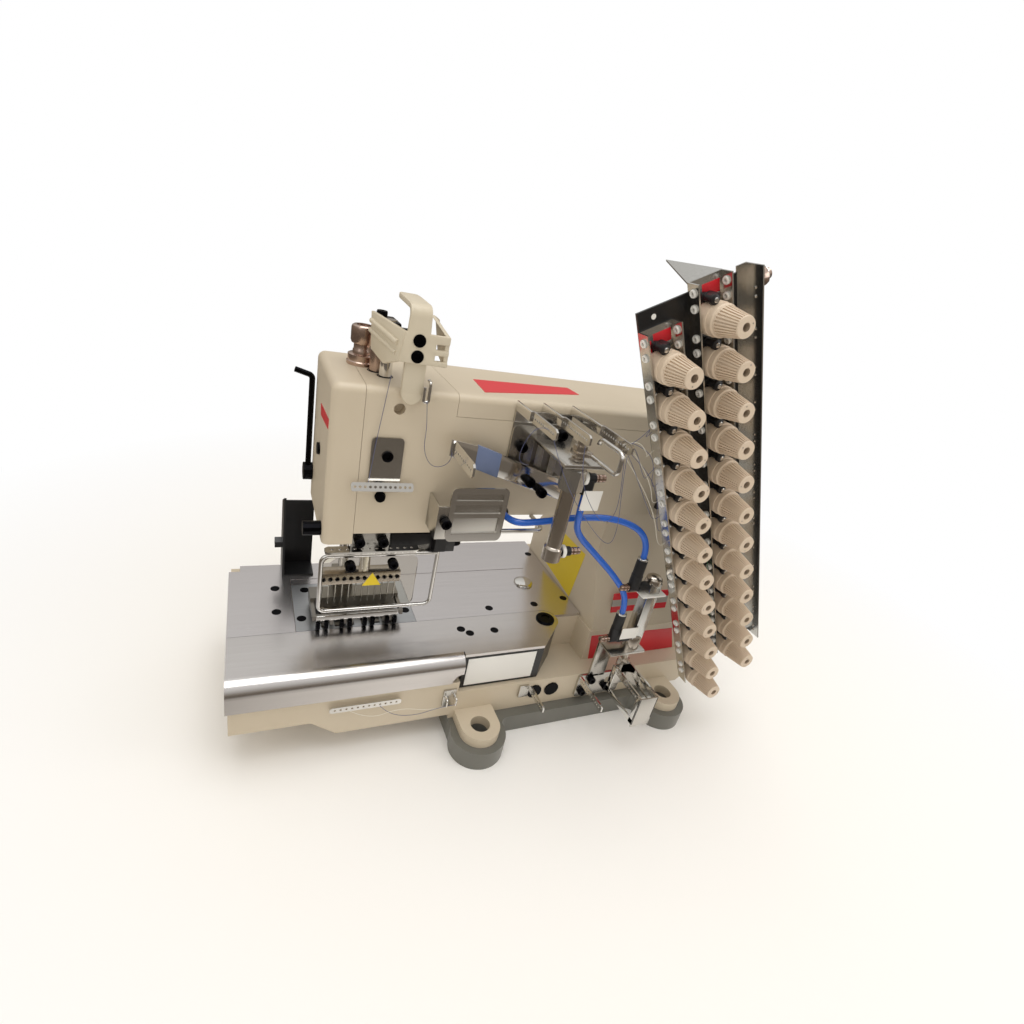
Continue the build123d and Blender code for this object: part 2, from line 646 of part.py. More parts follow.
def presser_foot():
    x, y = PRESSER_BAR
    left = NEEDLES_X[0] - 5
    right = NEEDLES_X[-1] + 5
    low = FOOT_Z + 4
    body = block(left - 3, right + 3, NEEDLE_Y + 10, NEEDLE_Y + 28, low, low + 12)
    body += block(x - 9, x + 9, y - 9, y + 9, low + 6, low + 30)
    for x0 in (left - 3, right):
        body += block(x0, x0 + 3, NEEDLE_Y - 13.5, NEEDLE_Y + 12, low + 4, low + 9)
    body += block(left - 3, right + 3, NEEDLE_Y - 13.5, NEEDLE_Y - 10.5, low + 6, low + 9)
    for group in range(NEEDLES // 3):
        for step in (0, 1):
            middle = NEEDLES_X[3 * group + step] + NEEDLE_PITCH / 2
            sole = polygon(
                (NEEDLE_Y - 13, FOOT_Z + 1.5),
                (NEEDLE_Y - 11, FOOT_Z),
                (NEEDLE_Y + 26, FOOT_Z),
                (NEEDLE_Y + 26, low + 1),
                (NEEDLE_Y - 10.5, low),
                (NEEDLE_Y - 10.5, low + 7),
                (NEEDLE_Y - 13, low + 7),
            )
            body += side_view(sole, middle - 1.4, middle + 1.4)
    return body - upright(x, y, FOOT_Z + 20, low + 31, PRESSER_BAR_R)


def pressure_knob():
    x, y = PRESSER_BAR
    body = prism_z(x, y, ARM_TOP + 8 + SEAM, ARM_TOP + 16, 7.5, 16)
    grip = prism_z(x, y, ARM_TOP + 16, ARM_TOP + 32, 9.5, 16)
    body += chamfer(grip.edges().group_by(Axis.Z)[-1], 1.5)
    return body + prism_z(x, y, ARM_TOP + 2, ARM_TOP + 9, 4)


def pressure_bush():
    x, y = PRESSER_BAR
    body = prism_z(x, y, ARM_TOP, ARM_TOP + 8, 8.5, 16)
    return body - upright(x, y, ARM_TOP + 1, ARM_TOP + 9, 4 + FIT)


def lifter_lever():
    x = ARM_LEFT - FACE_COVER_T
    body = prism_x(x - 8, x - PLAY, LIFTER_Y, LIFTER_Z, 8)
    body += bent_wire(
        [
            (x - 4, LIFTER_Y, LIFTER_Z),
            (x - 4, LIFTER_Y, LIFTER_Z + 88),
            (x - 18, LIFTER_Y, LIFTER_Z + 92),
        ],
        2.4,
        4,
    )
    return body - along_x(x - 9, x, LIFTER_Y, LIFTER_Z, 3 + FIT)


def lifter_pin():
    x = ARM_LEFT - FACE_COVER_T
    return along_x(x - 8, x, LIFTER_Y, LIFTER_Z, 3)


def thread_cage():
    x = NEEDLE_X + 17
    y = ARM_FRONT - 5
    strap = block(x - 8, x + 8, y, ARM_FRONT, ARM_TOP - 1, CAGE_Z + 40)
    strap += prism_y(x, y, ARM_FRONT, ARM_TOP - 1, 8)
    body = strap + block(x - 17, x + 22, y - 4, y, CAGE_Z, CAGE_Z + 23)
    for z in (CAGE_Z + 5, CAGE_Z + 13):
        body -= block(x + 11, x + 23, y - 5, y + 0.1, z, z + 4)
    side = polygon((0, 3), (0, 23), (54, 21), (54, 14), (27, 1))
    ribs = polygon((6, 12.5), (6, 14.5), (50, 18.5), (50, 16.5))
    left = Plane(origin=(x - 16, y - 4, CAGE_Z), x_dir=(-0.31, 0.95, 0), z_dir=(0.95, 0.31, 0)).location
    body += left * Pos(0, 0, -4) * extrude(side, 4)
    body += left * Pos(0, 0, -5.2) * extrude(ribs, 2)
    body += left * Pos(0, -7, -5.2) * extrude(ribs, 2)
    right = Plane(origin=(x + 18, y - 4, CAGE_Z), x_dir=(0.12, 0.99, 0), z_dir=(0.99, -0.12, 0)).location
    body += right * Pos(0, 0, -4) * extrude(
        polygon((0, 0), (0, 23), (50, 27), (62, 20), (62, 12), (40, 4)), 4
    )
    hood = side_view(
        polygon(
            (y - 4, CAGE_Z + 20),
            (y, CAGE_Z + 20),
            (y, CAGE_Z + 36),
            (y + 6, CAGE_Z + 40),
            (y + 44, CAGE_Z + 42),
            (y + 44, CAGE_Z + 45),
            (y + 3, CAGE_Z + 43),
            (y - 4, CAGE_Z + 37),
        ),
        x - 9,
        x + 9,
    )
    return body + hood


def thread_guides():
    """Plates and strips on the head's front that lead the needle threads, and the slotted guard."""
    x = NEEDLE_X
    y = ARM_FRONT
    face = block(x - 11, x + 16, y - SHEET_T, y, 245, 290)
    strip = block(x - 19, x + 28, y - 12, y, 246, 246 + SHEET_T)
    bracket = block(x - 14, x + 18, y + 8 - SHEET_T, y + 8, SHOE_UNDER - 15, SHOE_UNDER + 9)
    lower = block(x - 37, x + 41, y - 4, y + 8, GUARD_HIGH_Z + 5, GUARD_HIGH_Z + 7)
    for i in range(NEEDLES):
        hole_x = NEEDLES_X[i]
        lower -= block(hole_x - 1.2, hole_x + 1.2, y - 2.6, y - 0.2, GUARD_HIGH_Z + 4, GUARD_HIGH_Z + 8)
        strip -= block(
            x + 4.5 + 3.8 * (i - 5.5) - 0.9, x + 4.5 + 3.8 * (i - 5.5) + 0.9, y - 9.9, y - 8.1, 245, 249
        )
    guard = block(-165, -115, y - 28, y - 26, 212, 261)
    guard = fillet(guard.edges().filter_by(Axis.Y), 5)
    for z0, z1 in ((219, 234), (238, 246), (250, 256)):
        guard -= block(-161, -119, y - 29, y - 27.2, z0, z1)
    arm = block(-172, -160, y - 26, y - 24, 214, 244)
    arm += block(-174, -172, y - 26, y, 214, 244)
    rod = bent_wire([(-116, y - 27, 221), (-74, y - 27, 221), (-74, y, 221)], 2, 8)
    knob = prism_z(-140, y + 14, SHOE_UNDER - 8, SHOE_UNDER + 4.5, 7)
    return Compound(children=[face + strip, bracket + lower, guard + arm + rod, knob])


def finger_guard():
    left = GUARD_X - GUARD_WIDTH
    frame = bent_wire(
        [
            (GUARD_X, GUARD_Y, SHOE_UNDER - 3),
            (GUARD_X, GUARD_Y, GUARD_LOW_Z),
            (left, GUARD_Y, GUARD_LOW_Z),
            (left, GUARD_Y, GUARD_HIGH_Z),
            (left + 12, GUARD_Y, GUARD_HIGH_Z),
        ],
        GUARD_WIRE_R,
        GUARD_BEND_R,
    )
    top = Plane(origin=(left + 11, GUARD_Y, GUARD_HIGH_Z), z_dir=(1, 0, 0)) * RegularPolygon(GUARD_WIRE_R, 6)
    return frame + extrude(top, GUARD_WIDTH - 11)


def guard_screen():
    left = GUARD_X - GUARD_WIDTH
    rim = GUARD_WIRE_R + 0.05
    sheet = block(
        left + rim, GUARD_X - 17, GUARD_Y - 0.9, GUARD_Y + 0.9, GUARD_LOW_Z + rim, GUARD_HIGH_Z - rim
    )
    return fillet(sheet.edges().filter_by(Axis.Y), GUARD_BEND_R)


def guard_hinge():
    x = GUARD_X
    y = GUARD_Y
    body = block(x - 5, x + 5, y - 4, ARM_FRONT + 12, SHOE_UNDER - 9, SHOE_UNDER + 6)
    return body - upright(x, y, SHOE_UNDER - 10, SHOE_UNDER - 2, GUARD_WIRE_R + 0.1)


# Air units
def comb_holes(x, front, z):
    """Cutters for a thread bar's row of holes, one for each needle."""
    return [block(x - 2, x + 2, y, y + COMB_HOLE, z, z + COMB_HOLE) for y in comb_rows(front)]


def comb_rows(front):
    return [front + 5 + COMB_PITCH * i for i in range(NEEDLES)]


def upper_bracket():
    y = ARM_FRONT
    z = CYL_HIGH_Z
    base = block(CYL_X - 34, CYL_X + 26, y - 3, y, z - 36, z + 14)
    base = chamfer(base.edges().filter_by(Axis.Y), 4)
    for x in (CYL_X - 26, CYL_X - 15):
        base -= block(x - 2, x + 2, y - 4, y - 1, z - 22, z + 6)
    shelf = block(CYL_X - 18, CYL_X + 22, CYL_Y - 13, y - 1, z, z + 3)
    shelf -= prism_z(CYL_X, CYL_Y, z - 1, z + 4, 6)
    body = base + shelf
    for x, front in GUIDE_BARS:
        body += block(x - 1, x + 1, front, y - 0.5, z + 20, z + 31) - comb_holes(x, front, z + 23)
    body += block(CYL_X - 35, CYL_X + 19, y - 3, y, z + 12, z + 22)
    strap = polygon((-89, -17), (-89, -3), (-62, -8), (22, -36), (22, -55), (-62, -28))
    body += Pos(CYL_X, 0, z) * front_view(strap, y - 12, y - 10)
    body += block(CYL_X + 2, CYL_X + 16, y - 11, y - 1, z - 42, z - 32)
    body += block(CYL_X - 89, CYL_X - 87, y - 57, y - 10, z - 15, z - 4)
    return body


def pushed_fitting(x0, x1, z, entry_x, entry_z):
    """Elbow with a hose collar and a knurled flow screw, seen from the front."""
    low, high = min(x0, x1), max(x0, x1)
    body = prism_x(low, high, CYL_Y, z, 4.2, 8)
    return body + prism_z(entry_x, CYL_Y, min(z, entry_z), max(z, entry_z), 5.6, 8)


def octagon(flat, height):
    """Eight-sided head with a flat on each side, as far as flat from its middle."""
    return Rot(0, 0, 22.5) * extrude(RegularPolygon(flat, 8, major_radius=False), height)


def air_cylinders():
    upper = prism_z(CYL_X, CYL_Y, CYL_LOW_Z + 12, CYL_HIGH_Z - 22, CYL_R, 16)
    head = Pos(CYL_X, CYL_Y, CYL_HIGH_Z - 24) * octagon(HEAD_FLAT, 24)
    foot = Pos(CYL_X, CYL_Y, CYL_LOW_Z) * octagon(CAP_FLAT, 14)
    upper = upper + head + foot
    upper -= upright(CYL_X, CYL_Y, CYL_HIGH_Z - UPPER_STROKE - 12, CYL_HIGH_Z + 1, ROD_R + FIT)
    lower = block(LOW_CYL_X - 6.5, LOW_CYL_X + 6.5, CYL_Y - 6.5, CYL_Y + 6.5, LOW_CYL_Z + 16, LOW_CYL_Z + LOW_CYL_H)
    lower += prism_z(LOW_CYL_X, CYL_Y, LOW_CYL_Z + LOW_CYL_H, LOW_CYL_Z + LOW_CYL_H + 8, 7.5)
    lower += Pos(LOW_CYL_X, CYL_Y, LOW_CYL_Z) * octagon(CAP_FLAT, 17)
    lower -= upright(LOW_CYL_X, CYL_Y, LOW_CYL_Z - 1, LOW_CYL_Z + LOWER_STROKE + 10, ROD_R + FIT)
    return Compound(children=[upper, lower])


def air_fittings():
    top = pushed_fitting(CYL_X + HEAD_FLAT, CYL_X + 33, CYL_HIGH_Z - 13, UPPER_ENTRY[0], UPPER_ENTRY[2])
    bottom = prism_x(CYL_X + CAP_FLAT, CYL_X + 24, CYL_Y, CYL_LOW_Z + 7, 4.2, 8)
    first = pushed_fitting(LOW_CYL_X - 27, LOW_CYL_X - 6.5, LOW_CYL_Z + 74, FIRST_ENTRY[0], FIRST_ENTRY[2])
    second = pushed_fitting(
        LOW_CYL_X - 38, LOW_CYL_X - CAP_FLAT, LOW_CYL_Z + 12, SECOND_ENTRY[0], SECOND_ENTRY[2]
    )
    bulkhead = prism_y(BULKHEAD[0], BULKHEAD[1], ARM_FRONT, BULKHEAD[2], 5.6, 8)
    tag = block(CYL_X + 11, CYL_X + 29, CYL_Y - 5.6, CYL_Y - 4.6, CYL_HIGH_Z - 40, CYL_HIGH_Z - 13)
    return Compound(children=[top + tag, bottom, first, second, bulkhead])


def upper_rod():
    z = CYL_HIGH_Z + 6
    y = CYL_Y
    body = upright(CYL_X, y, CYL_HIGH_Z - UPPER_STROKE - 10, CYL_HIGH_Z + 19, ROD_R)
    body += block(CYL_X - 5, FORK_X + 2, y - 6, y + 6, z, z + 6)
    body += block(FORK_X - 1.5, FORK_X + 1.5, y - 44, y - 5, z, z + 3)
    body += block(FORK_X - 1.5, FORK_X + 1.5, y - 44, y - 41, z, z + 20)
    body += block(FORK_X - 1.5, FORK_X + 1.5, y - 44, y - 11, z + 17, z + 20)
    return body


def lower_rod():
    """Rod of the lower cylinder with its folded tray, open on top and below."""
    x1 = LOW_CYL_X + 6
    x0 = x1 - TRAY_WIDTH
    back = CYL_Y - 4
    front = back - TRAY_LENGTH
    top = LOW_CYL_Z - 21
    body = upright(LOW_CYL_X, CYL_Y, top - 2, LOW_CYL_Z + LOWER_STROKE + 8, ROD_R)
    body += block(LOW_CYL_X - 5, LOW_CYL_X + 5, back - 1.5, CYL_Y + 5, top - 12, top)
    body += block(x0, x1, back - 1.5, back, top - 26, top)
    body += block(x1 - 1.5, x1, front, back, top - 27, top)
    left = block(x0, x0 + 1.5, front, back, top - 33, top)
    left -= block(x0 - 1, x0 + 2, front + 8, back - 6, top - 27, top - 7)
    body += left
    body += block(x0, x1, front, front + 1.5, top - 36, top)
    for y in comb_rows(front):
        body -= block(x0 - 1, x0 + 2, y, y + COMB_HOLE, top - 4.2, top - 2.6)
    return body


def lower_bracket():
    y = BED_FRONT
    low = LOW_CYL_Z - 3
    base = block(LOW_CYL_X - 41, LOW_CYL_X + 14, y - 3, y, PAN_H + 4, PAN_H + 33)
    web = block(LOW_CYL_X - 30, LOW_CYL_X - 10, y - 3, y, PAN_H + 30, low + 3)
    tab = block(LOW_CYL_X - 30, LOW_CYL_X + 12, CYL_Y - 11, y, low, low + 3)
    tab -= prism_z(LOW_CYL_X, CYL_Y, low - 1, low + 4, ROD_R + 1.5)
    body = base + web + tab
    bar_x = LOW_CYL_X - 41
    body += block(bar_x - 1, bar_x + 1, y - 47, y, PAN_H + 25, PAN_H + 32.5) - comb_holes(bar_x, y - 47, PAN_H + 28)
    for x in (LOW_CYL_X - 34, LOW_CYL_X + 6):
        body += prism_y(x, y - 6, y - 2, PAN_H + 10, 4, 8)
    front_bar = block(-64, -53.5, y - 3, y, 36, 50) + block(-56, -54, y - 34, y, 44, 52)
    spring = block(-145, -132, y - 2, y, 39, 59)
    for x in (-143, -134):
        spring += block(x - 0.8, x + 0.8, y - 9, y, 52, 54)
    thread_bar = block(-247, -187, y - 5, y, 55, 61)
    for i in range(NEEDLES):
        thread_bar -= block(-244 + 4.8 * i, -242.4 + 4.8 * i, y - 6, y - 1, 57, 59)
    return Compound(children=[body, front_bar, spring, thread_bar])


# Tension rack
def on_rack(shape):
    return RACK * shape


def channel(width, depth, length):
    """A bright channel with its web at the back, open to the front, from the top down."""
    web = block(0, width, -length, 0, 0, STRIP_T)
    for a in (0, width - STRIP_T):
        web += block(a, a + STRIP_T, -length, 0, 0, depth)
    return web


def rack_channels():
    first = channel(STRIP_WIDTH, FLANGE_DEPTH, STRIP_LENGTH)
    second = Pos(COLUMN_PITCH, COLUMN_RISE, 0) * channel(STRIP_WIDTH, FLANGE_DEPTH, STRIP_LENGTH)
    a = COLUMN_PITCH + STRIP_WIDTH + 12
    beam = block(a, a + 9, 18 - STRIP_LENGTH, 18, 0, STRIP_T)
    beam += block(a + 9 - STRIP_T, a + 9, 18 - STRIP_LENGTH, 18, 0, FLANGE_DEPTH + 6)
    nut = Pos(a + 9, 8, FLANGE_DEPTH - 2) * Rot(0, 90, 0) * extrude(RegularPolygon(7, 12), 6)
    return Compound(children=[on_rack(first), on_rack(second), on_rack(beam + nut)])


def rack_plate():
    right = COLUMN_PITCH + STRIP_WIDTH + 22
    return on_rack(block(1, right, -STRIP_LENGTH + 8, 13, -SHEET_T, 0))


def rack_stay():
    """Square bar from the arm's front to the rack, with a flange at each end, and the folded top gusset."""
    back = RACK_WEB_Y + SHEET_T
    bar = block(74, 98, back, ARM_FRONT, 236, 260)
    bar += block(66, 106, ARM_FRONT - 4, ARM_FRONT, 230, 266)
    bar += block(66, 106, back, back + 4, 230, 266)
    left = COLUMN_PITCH
    right = COLUMN_PITCH + STRIP_WIDTH
    sheet = Pos(0, COLUMN_RISE, 0) * Rot(90, 0, 0) * extrude(
        polygon((left, 0), (right, 0), (right - 2, -62)), STRIP_T
    )
    return Compound(children=[bar, on_rack(sheet)])


def tension_posts():
    solids = []
    for a, b in KNOB_PLACES:
        post = Pos(a, b, STRIP_T) * extrude(RegularPolygon(6.5, 4), KNOB_STANDOFF - STRIP_T - SEAM)
        stud = Pos(a, b, STRIP_T) * extrude(RegularPolygon(STUD_R, 4), KNOB_LENGTH + KNOB_STANDOFF - 8)
        arm = block(a - 3, a + 3, b + 4, b + KNOB_R + 4, STRIP_T, KNOB_STANDOFF - SEAM)
        arm += block(a - 3, a + 3, b + KNOB_R + 0.6, b + KNOB_R + 5, STRIP_T, FLANGE_DEPTH)
        solids.append(on_rack(post + stud + arm))
    return Compound(children=solids)


def tension_knob(a, b):
    """Cup with a ribbed grip that narrows to its bored end."""
    grip_r = KNOB_R - 1.1
    cup = extrude(RegularPolygon(KNOB_R, KNOB_SIDES), KNOB_CUP)
    big = star(grip_r, grip_r - RIB_DEPTH)
    grip = loft([Pos(0, 0, KNOB_CUP - 0.5) * big, Pos(0, 0, KNOB_LENGTH) * scale(big, KNOB_END_R / grip_r)])
    bore = Pos(0, 0, -1) * extrude(RegularPolygon(KNOB_BORE_R, 6), KNOB_LENGTH + 2)
    return on_rack(Pos(a, b, KNOB_STANDOFF) * (cup + grip - bore))


def star(outer, inner):
    points = []
    for i in range(2 * KNOB_RIBS):
        r = outer if i % 2 == 0 else inner
        angle = radians(180 / KNOB_RIBS * i)
        points.append((r * cos(angle), r * sin(angle)))
    return polygon(*points)


def eyelets():
    solids = []
    for index, (a, b) in enumerate(KNOB_PLACES):
        left = index // KNOBS_PER_COLUMN * COLUMN_PITCH
        for edge in (left, left + STRIP_WIDTH - STRIP_T):
            for step in (-0.5, 0.5):
                along = b + KNOB_PITCH / 2 + step * EYELET_PITCH
                place = Pos(edge, along, FLANGE_DEPTH / 2 + 0.5) * Rot(0, -90, 0)
                solids.append(on_rack(place * extrude(RegularPolygon(EYELET_R, 6), 1.8)))
    return Compound(children=solids)


# Handwheel
def handwheel():
    x = BED_RIGHT + PLAY + 1
    grooves = Polyline(
        (SHAFT_R, 0),
        (WHEEL_R - 12, 0),
        (WHEEL_R - 6, 4),
        (WHEEL_R - 6, 8),
        (WHEEL_R - 16, 13),
        (WHEEL_R - 6, 18),
        (WHEEL_R, 20),
        (WHEEL_R, WHEEL_T),
        (SHAFT_R, WHEEL_T),
        (0, WHEEL_T),
        (0, -SHAFT_DEPTH),
        (SHAFT_R, -SHAFT_DEPTH),
        close=True,
    )
    wheel = revolve(Plane.XZ * make_face(grooves), Axis.Z)
    return Pos(x, WHEEL_Y, WHEEL_Z) * Rot(0, 90, 0) * wheel


def main():
    os.makedirs("parts", exist_ok=True)
    outline = machine_outline()
    save("bed_casting", bed_casting())
    save("oil_pan", oil_pan())
    save("bed_plates", bed_plates())
    save("needle_plate", needle_plate())
    save("feed_dog", feed_dog())
    save("looper_rocker", looper_rocker())
    save("front_cover", front_cover())
    save("cover_skirt", cover_skirt())
    save("arm_casting", arm_casting(outline))
    save("face_cover", face_cover(outline))
    save("top_cover", top_cover(outline))
    save("black_plates", Compound(children=[shoe_plate() + guard_hinge(), black_bracket()]))
    save("machine_screws", machine_screws())
    save("needle_bar", needle_bar())
    save("take_up_lever", take_up_lever())
    save("presser_bar", presser_bar())
    save("presser_foot", presser_foot())
    save("pressure_knob", pressure_knob())
    save("lifter_lever", lifter_lever())
    save("thread_cage", thread_cage())
    save("thread_guides", thread_guides())
    save("finger_guard", finger_guard())
    save("guard_screen", guard_screen())
    save("upper_bracket", upper_bracket())
    save("lower_bracket", lower_bracket())
    save("air_cylinders", air_cylinders())
    save("air_fittings", air_fittings())
    save("upper_rod", upper_rod())
    save("lower_rod", lower_rod())
    save("air_hose_long", tube(LONG_HOSE, HOSE_R))
    save("air_hose_short", tube(SHORT_HOSE, HOSE_R))
    save("rack_channels", rack_channels())
    save("rack_back", Compound(children=[rack_plate(), rack_stay()]))
    save("tension_posts", tension_posts())
    save("eyelets", eyelets())
    save("handwheel", handwheel())
    for index, (a, b) in enumerate(KNOB_PLACES):
        save(f"tension_knob_{index + 1:02d}", tension_knob(a, b))


main()
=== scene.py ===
"""Industrial sewing machine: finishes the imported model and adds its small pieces, in metres."""
from math import cos, pi, radians, sin, tan
import bpy
from mathutils import Matrix, Vector


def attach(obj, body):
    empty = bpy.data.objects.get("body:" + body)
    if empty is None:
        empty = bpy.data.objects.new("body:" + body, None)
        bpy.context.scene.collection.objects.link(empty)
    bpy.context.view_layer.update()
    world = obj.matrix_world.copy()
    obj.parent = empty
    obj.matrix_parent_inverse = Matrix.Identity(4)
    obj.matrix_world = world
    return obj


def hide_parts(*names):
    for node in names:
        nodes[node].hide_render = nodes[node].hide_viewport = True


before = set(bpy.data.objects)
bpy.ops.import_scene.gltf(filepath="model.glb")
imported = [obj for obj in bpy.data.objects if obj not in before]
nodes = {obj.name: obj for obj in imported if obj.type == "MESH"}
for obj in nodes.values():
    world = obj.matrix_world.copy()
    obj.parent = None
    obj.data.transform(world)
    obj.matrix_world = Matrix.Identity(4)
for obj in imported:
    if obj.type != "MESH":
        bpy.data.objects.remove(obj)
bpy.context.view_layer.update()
mm = 0.001

# Camera and studio
CAMERA_PLACE = (-312, -450, 440)
CAMERA_RIGHT = (0.90172, -0.38096, 0.20437)
CAMERA_UP = (0.00037, 0.47342, 0.88084)
CAMERA_BACK = (-0.43232, -0.79419, 0.42703)
CAMERA_LENS = 19.54

# Rack: its tilt, the place of the first strip's top corner, and the pitch of its knobs
RACK_TILT = radians(28.2)
RACK_CORNER = (-64.3, -115.0, 402.3)
STRIP_WIDTH = 29.0
STRIP_T = 1.2
FLANGE_DEPTH = 12.0
COLUMN_PITCH = 43.0
COLUMN_RISE = 20.0
KNOBS_PER_COLUMN = 12
KNOB_PITCH = 32.8
FIRST_KNOB = 28.4
KNOB_STANDOFF = 3.0
KNOB_R = 12.5
KNOB_CUP = 16.0
KNOB_LENGTH = 38.0
EYELET_PITCH = 11.0
KNOB_GROOVES = 28

# Machine
BED_TOP = 95.0
ARM_FRONT = -50.0
ARM_TOP = 328.0
NEEDLE_X = -217.0
FACE_X = -257.0
PIVOT = (-25.3, -48.4)
HOSE_R = 3.0
THREAD_R = 0.22
DOT_TURN = 3.6
BED_FRONT = -92.0
PAN_TOP = 20.0
SKIRT_Y = -88.0
COLUMN_LEFT = 22.0
SHOE_UNDER = 194.0
CAGE_Z = 348.0
CLAMP_Z = 137.0
NEEDLE_TIP_Z = 112.0
TAKE_UP_Z = 358.0
PRESSER = (-227.5, 13.0)
TAKE_UP = (-218.0, -4.0)
NEEDLE_BAR = (-214.0, -18.0)
GUARD_X = -157.0
GUARD_Y = -46.5
CYLINDER = (-78.0, -105.0, 298.5)
LOW_CYLINDER = (46.0, -105.0, 99.0)
GUIDE_BARS = ((-112.0, -120.0), (-88.0, -128.0), (-60.0, -142.0))


# Materials
def linear(code, alpha=1.0):
    """An sRGB hex colour as Blender's linear one."""
    parts = [int(code[i : i + 2], 16) / 255 for i in (0, 2, 4)]
    return [c / 12.92 if c < 0.04045 else ((c + 0.055) / 1.055) ** 2.4 for c in parts] + [alpha]


def add(material, kind, settings=None, links=None):
    """Adds a node with its settings, and joins its sockets to other nodes' outputs."""
    new = material.node_tree.nodes.new("ShaderNode" + kind)
    for key, value in (settings or {}).items():
        if isinstance(key, int) or key in new.inputs:
            new.inputs[key].default_value = value
        else:
            setattr(new, key, value)
    for key, (other, output) in (links or {}).items():
        material.node_tree.links.new(other.outputs[output], new.inputs[key])
    return new


def blank(name):
    material = bpy.data.materials.new(name)
    material.use_nodes = True
    material.node_tree.nodes.clear()
    return material


def close(material, shader):
    add(material, "OutputMaterial", links={"Surface": (shader, 0)})
    return material


def cast_enamel(name, code, shade):
    """Iron casting with sprayed enamel: a satin skin with faint orange peel and dust in its colour."""
    m = blank(name)
    place = add(m, "TexCoord")
    cloud = add(m, "TexNoise", {"Scale": 14.0, "Detail": 4.0}, {"Vector": (place, "Object")})
    tone = add(m, "MixRGB", {1: linear(code), 2: linear(shade)}, {0: (cloud, 0)})
    peel = add(m, "TexNoise", {"Scale": 900.0, "Detail": 2.0}, {"Vector": (place, "Object")})
    bump = add(m, "Bump", {"Strength": 0.12, "Distance": 0.0004}, {"Height": (peel, 0)})
    skin = add(
        m, "BsdfPrincipled", {"Roughness": 0.4, "Coat Weight": 0.15, "Coat Roughness": 0.35}, {"Base Color": (tone, 0), "Normal": (bump, 0)}
    )
    return close(m, skin)


def ground_plate(name, code, shade, along=(1.5, 90.0, 90.0), rough=0.3):
    """Steel ground along one way: fine streaks and a soft stretched shine."""
    m = blank(name)
    place = add(m, "TexCoord")
    stretch = add(m, "Mapping", {"Scale": along}, {"Vector": (place, "Object")})
    grain = add(m, "TexNoise", {"Scale": 8.0, "Detail": 6.0, "Roughness": 0.65}, {"Vector": (stretch, 0)})
    tone = add(m, "MixRGB", {1: linear(code), 2: linear(shade)}, {0: (grain, 0)})
    polish = add(
        m, "MapRange", {"To Min": rough - 0.03, "To Max": rough + 0.06}, {"Value": (grain, 0)}
    )
    bump = add(m, "Bump", {"Strength": 0.015, "Distance": 0.0001}, {"Height": (grain, 0)})
    metal = add(
        m,
        "BsdfPrincipled",
        {"Metallic": 1.0, "Anisotropic": 0.4},
        {"Base Color": (tone, 0), "Roughness": (polish, 0), "Normal": (bump, 0)},
    )
    return close(m, metal)


def plain_metal(name, code, rough, scale=300.0, wear=0.06):
    """Plated or polished metal: the roughness varies with handling marks."""
    m = blank(name)
    place = add(m, "TexCoord")
    marks = add(m, "TexNoise", {"Scale": scale, "Detail": 3.0}, {"Vector": (place, "Object")})
    polish = add(m, "MapRange", {"To Min": rough - wear, "To Max": rough + wear}, {"Value": (marks, 0)})
    bump = add(m, "Bump", {"Strength": 0.03, "Distance": 0.0001}, {"Height": (marks, 0)})
    metal = add(
        m,
        "BsdfPrincipled",
        {"Base Color": linear(code), "Metallic": 1.0},
        {"Roughness": (polish, 0), "Normal": (bump, 0)},
    )
    return close(m, metal)


def paint_or_plastic(name, code, rough, grain=700.0, depth=0.1, shade=None, coat=0.0):
    """Moulded plastic or matt paint: a fine even texture and a slight change of tone."""
    m = blank(name)
    place = add(m, "TexCoord")
    cloud = add(m, "TexNoise", {"Scale": 25.0, "Detail": 3.0}, {"Vector": (place, "Object")})
    tone = add(m, "MixRGB", {1: linear(code), 2: linear(shade or code)}, {0: (cloud, 0)})
    texture = add(m, "TexNoise", {"Scale": grain, "Detail": 2.0}, {"Vector": (place, "Object")})
    bump = add(m, "Bump", {"Strength": depth, "Distance": 0.0003}, {"Height": (texture, 0)})
    skin = add(
        m,
        "BsdfPrincipled",
        {"Roughness": rough, "Coat Weight": coat},
        {"Base Color": (tone, 0), "Normal": (bump, 0)},
    )
    return close(m, skin)


def clear_sheet():
    """Clear acrylic plate: transmits nearly all light, with scuffs that catch a little of it."""
    m = blank("clear_acrylic")
    place = add(m, "TexCoord")
    scuffs = add(m, "TexNoise", {"Scale": 60.0, "Detail": 5.0}, {"Vector": (place, "Object")})
    haze = add(m, "MapRange", {"To Min": 0.02, "To Max": 0.12}, {"Value": (scuffs, 0)})
    clear = add(
        m,
        "BsdfPrincipled",
        {"Base Color": linear("F2EFE6"), "Transmission Weight": 1.0, "IOR": 1.12},
        {"Roughness": (haze, 0)},
    )
    return close(m, clear)


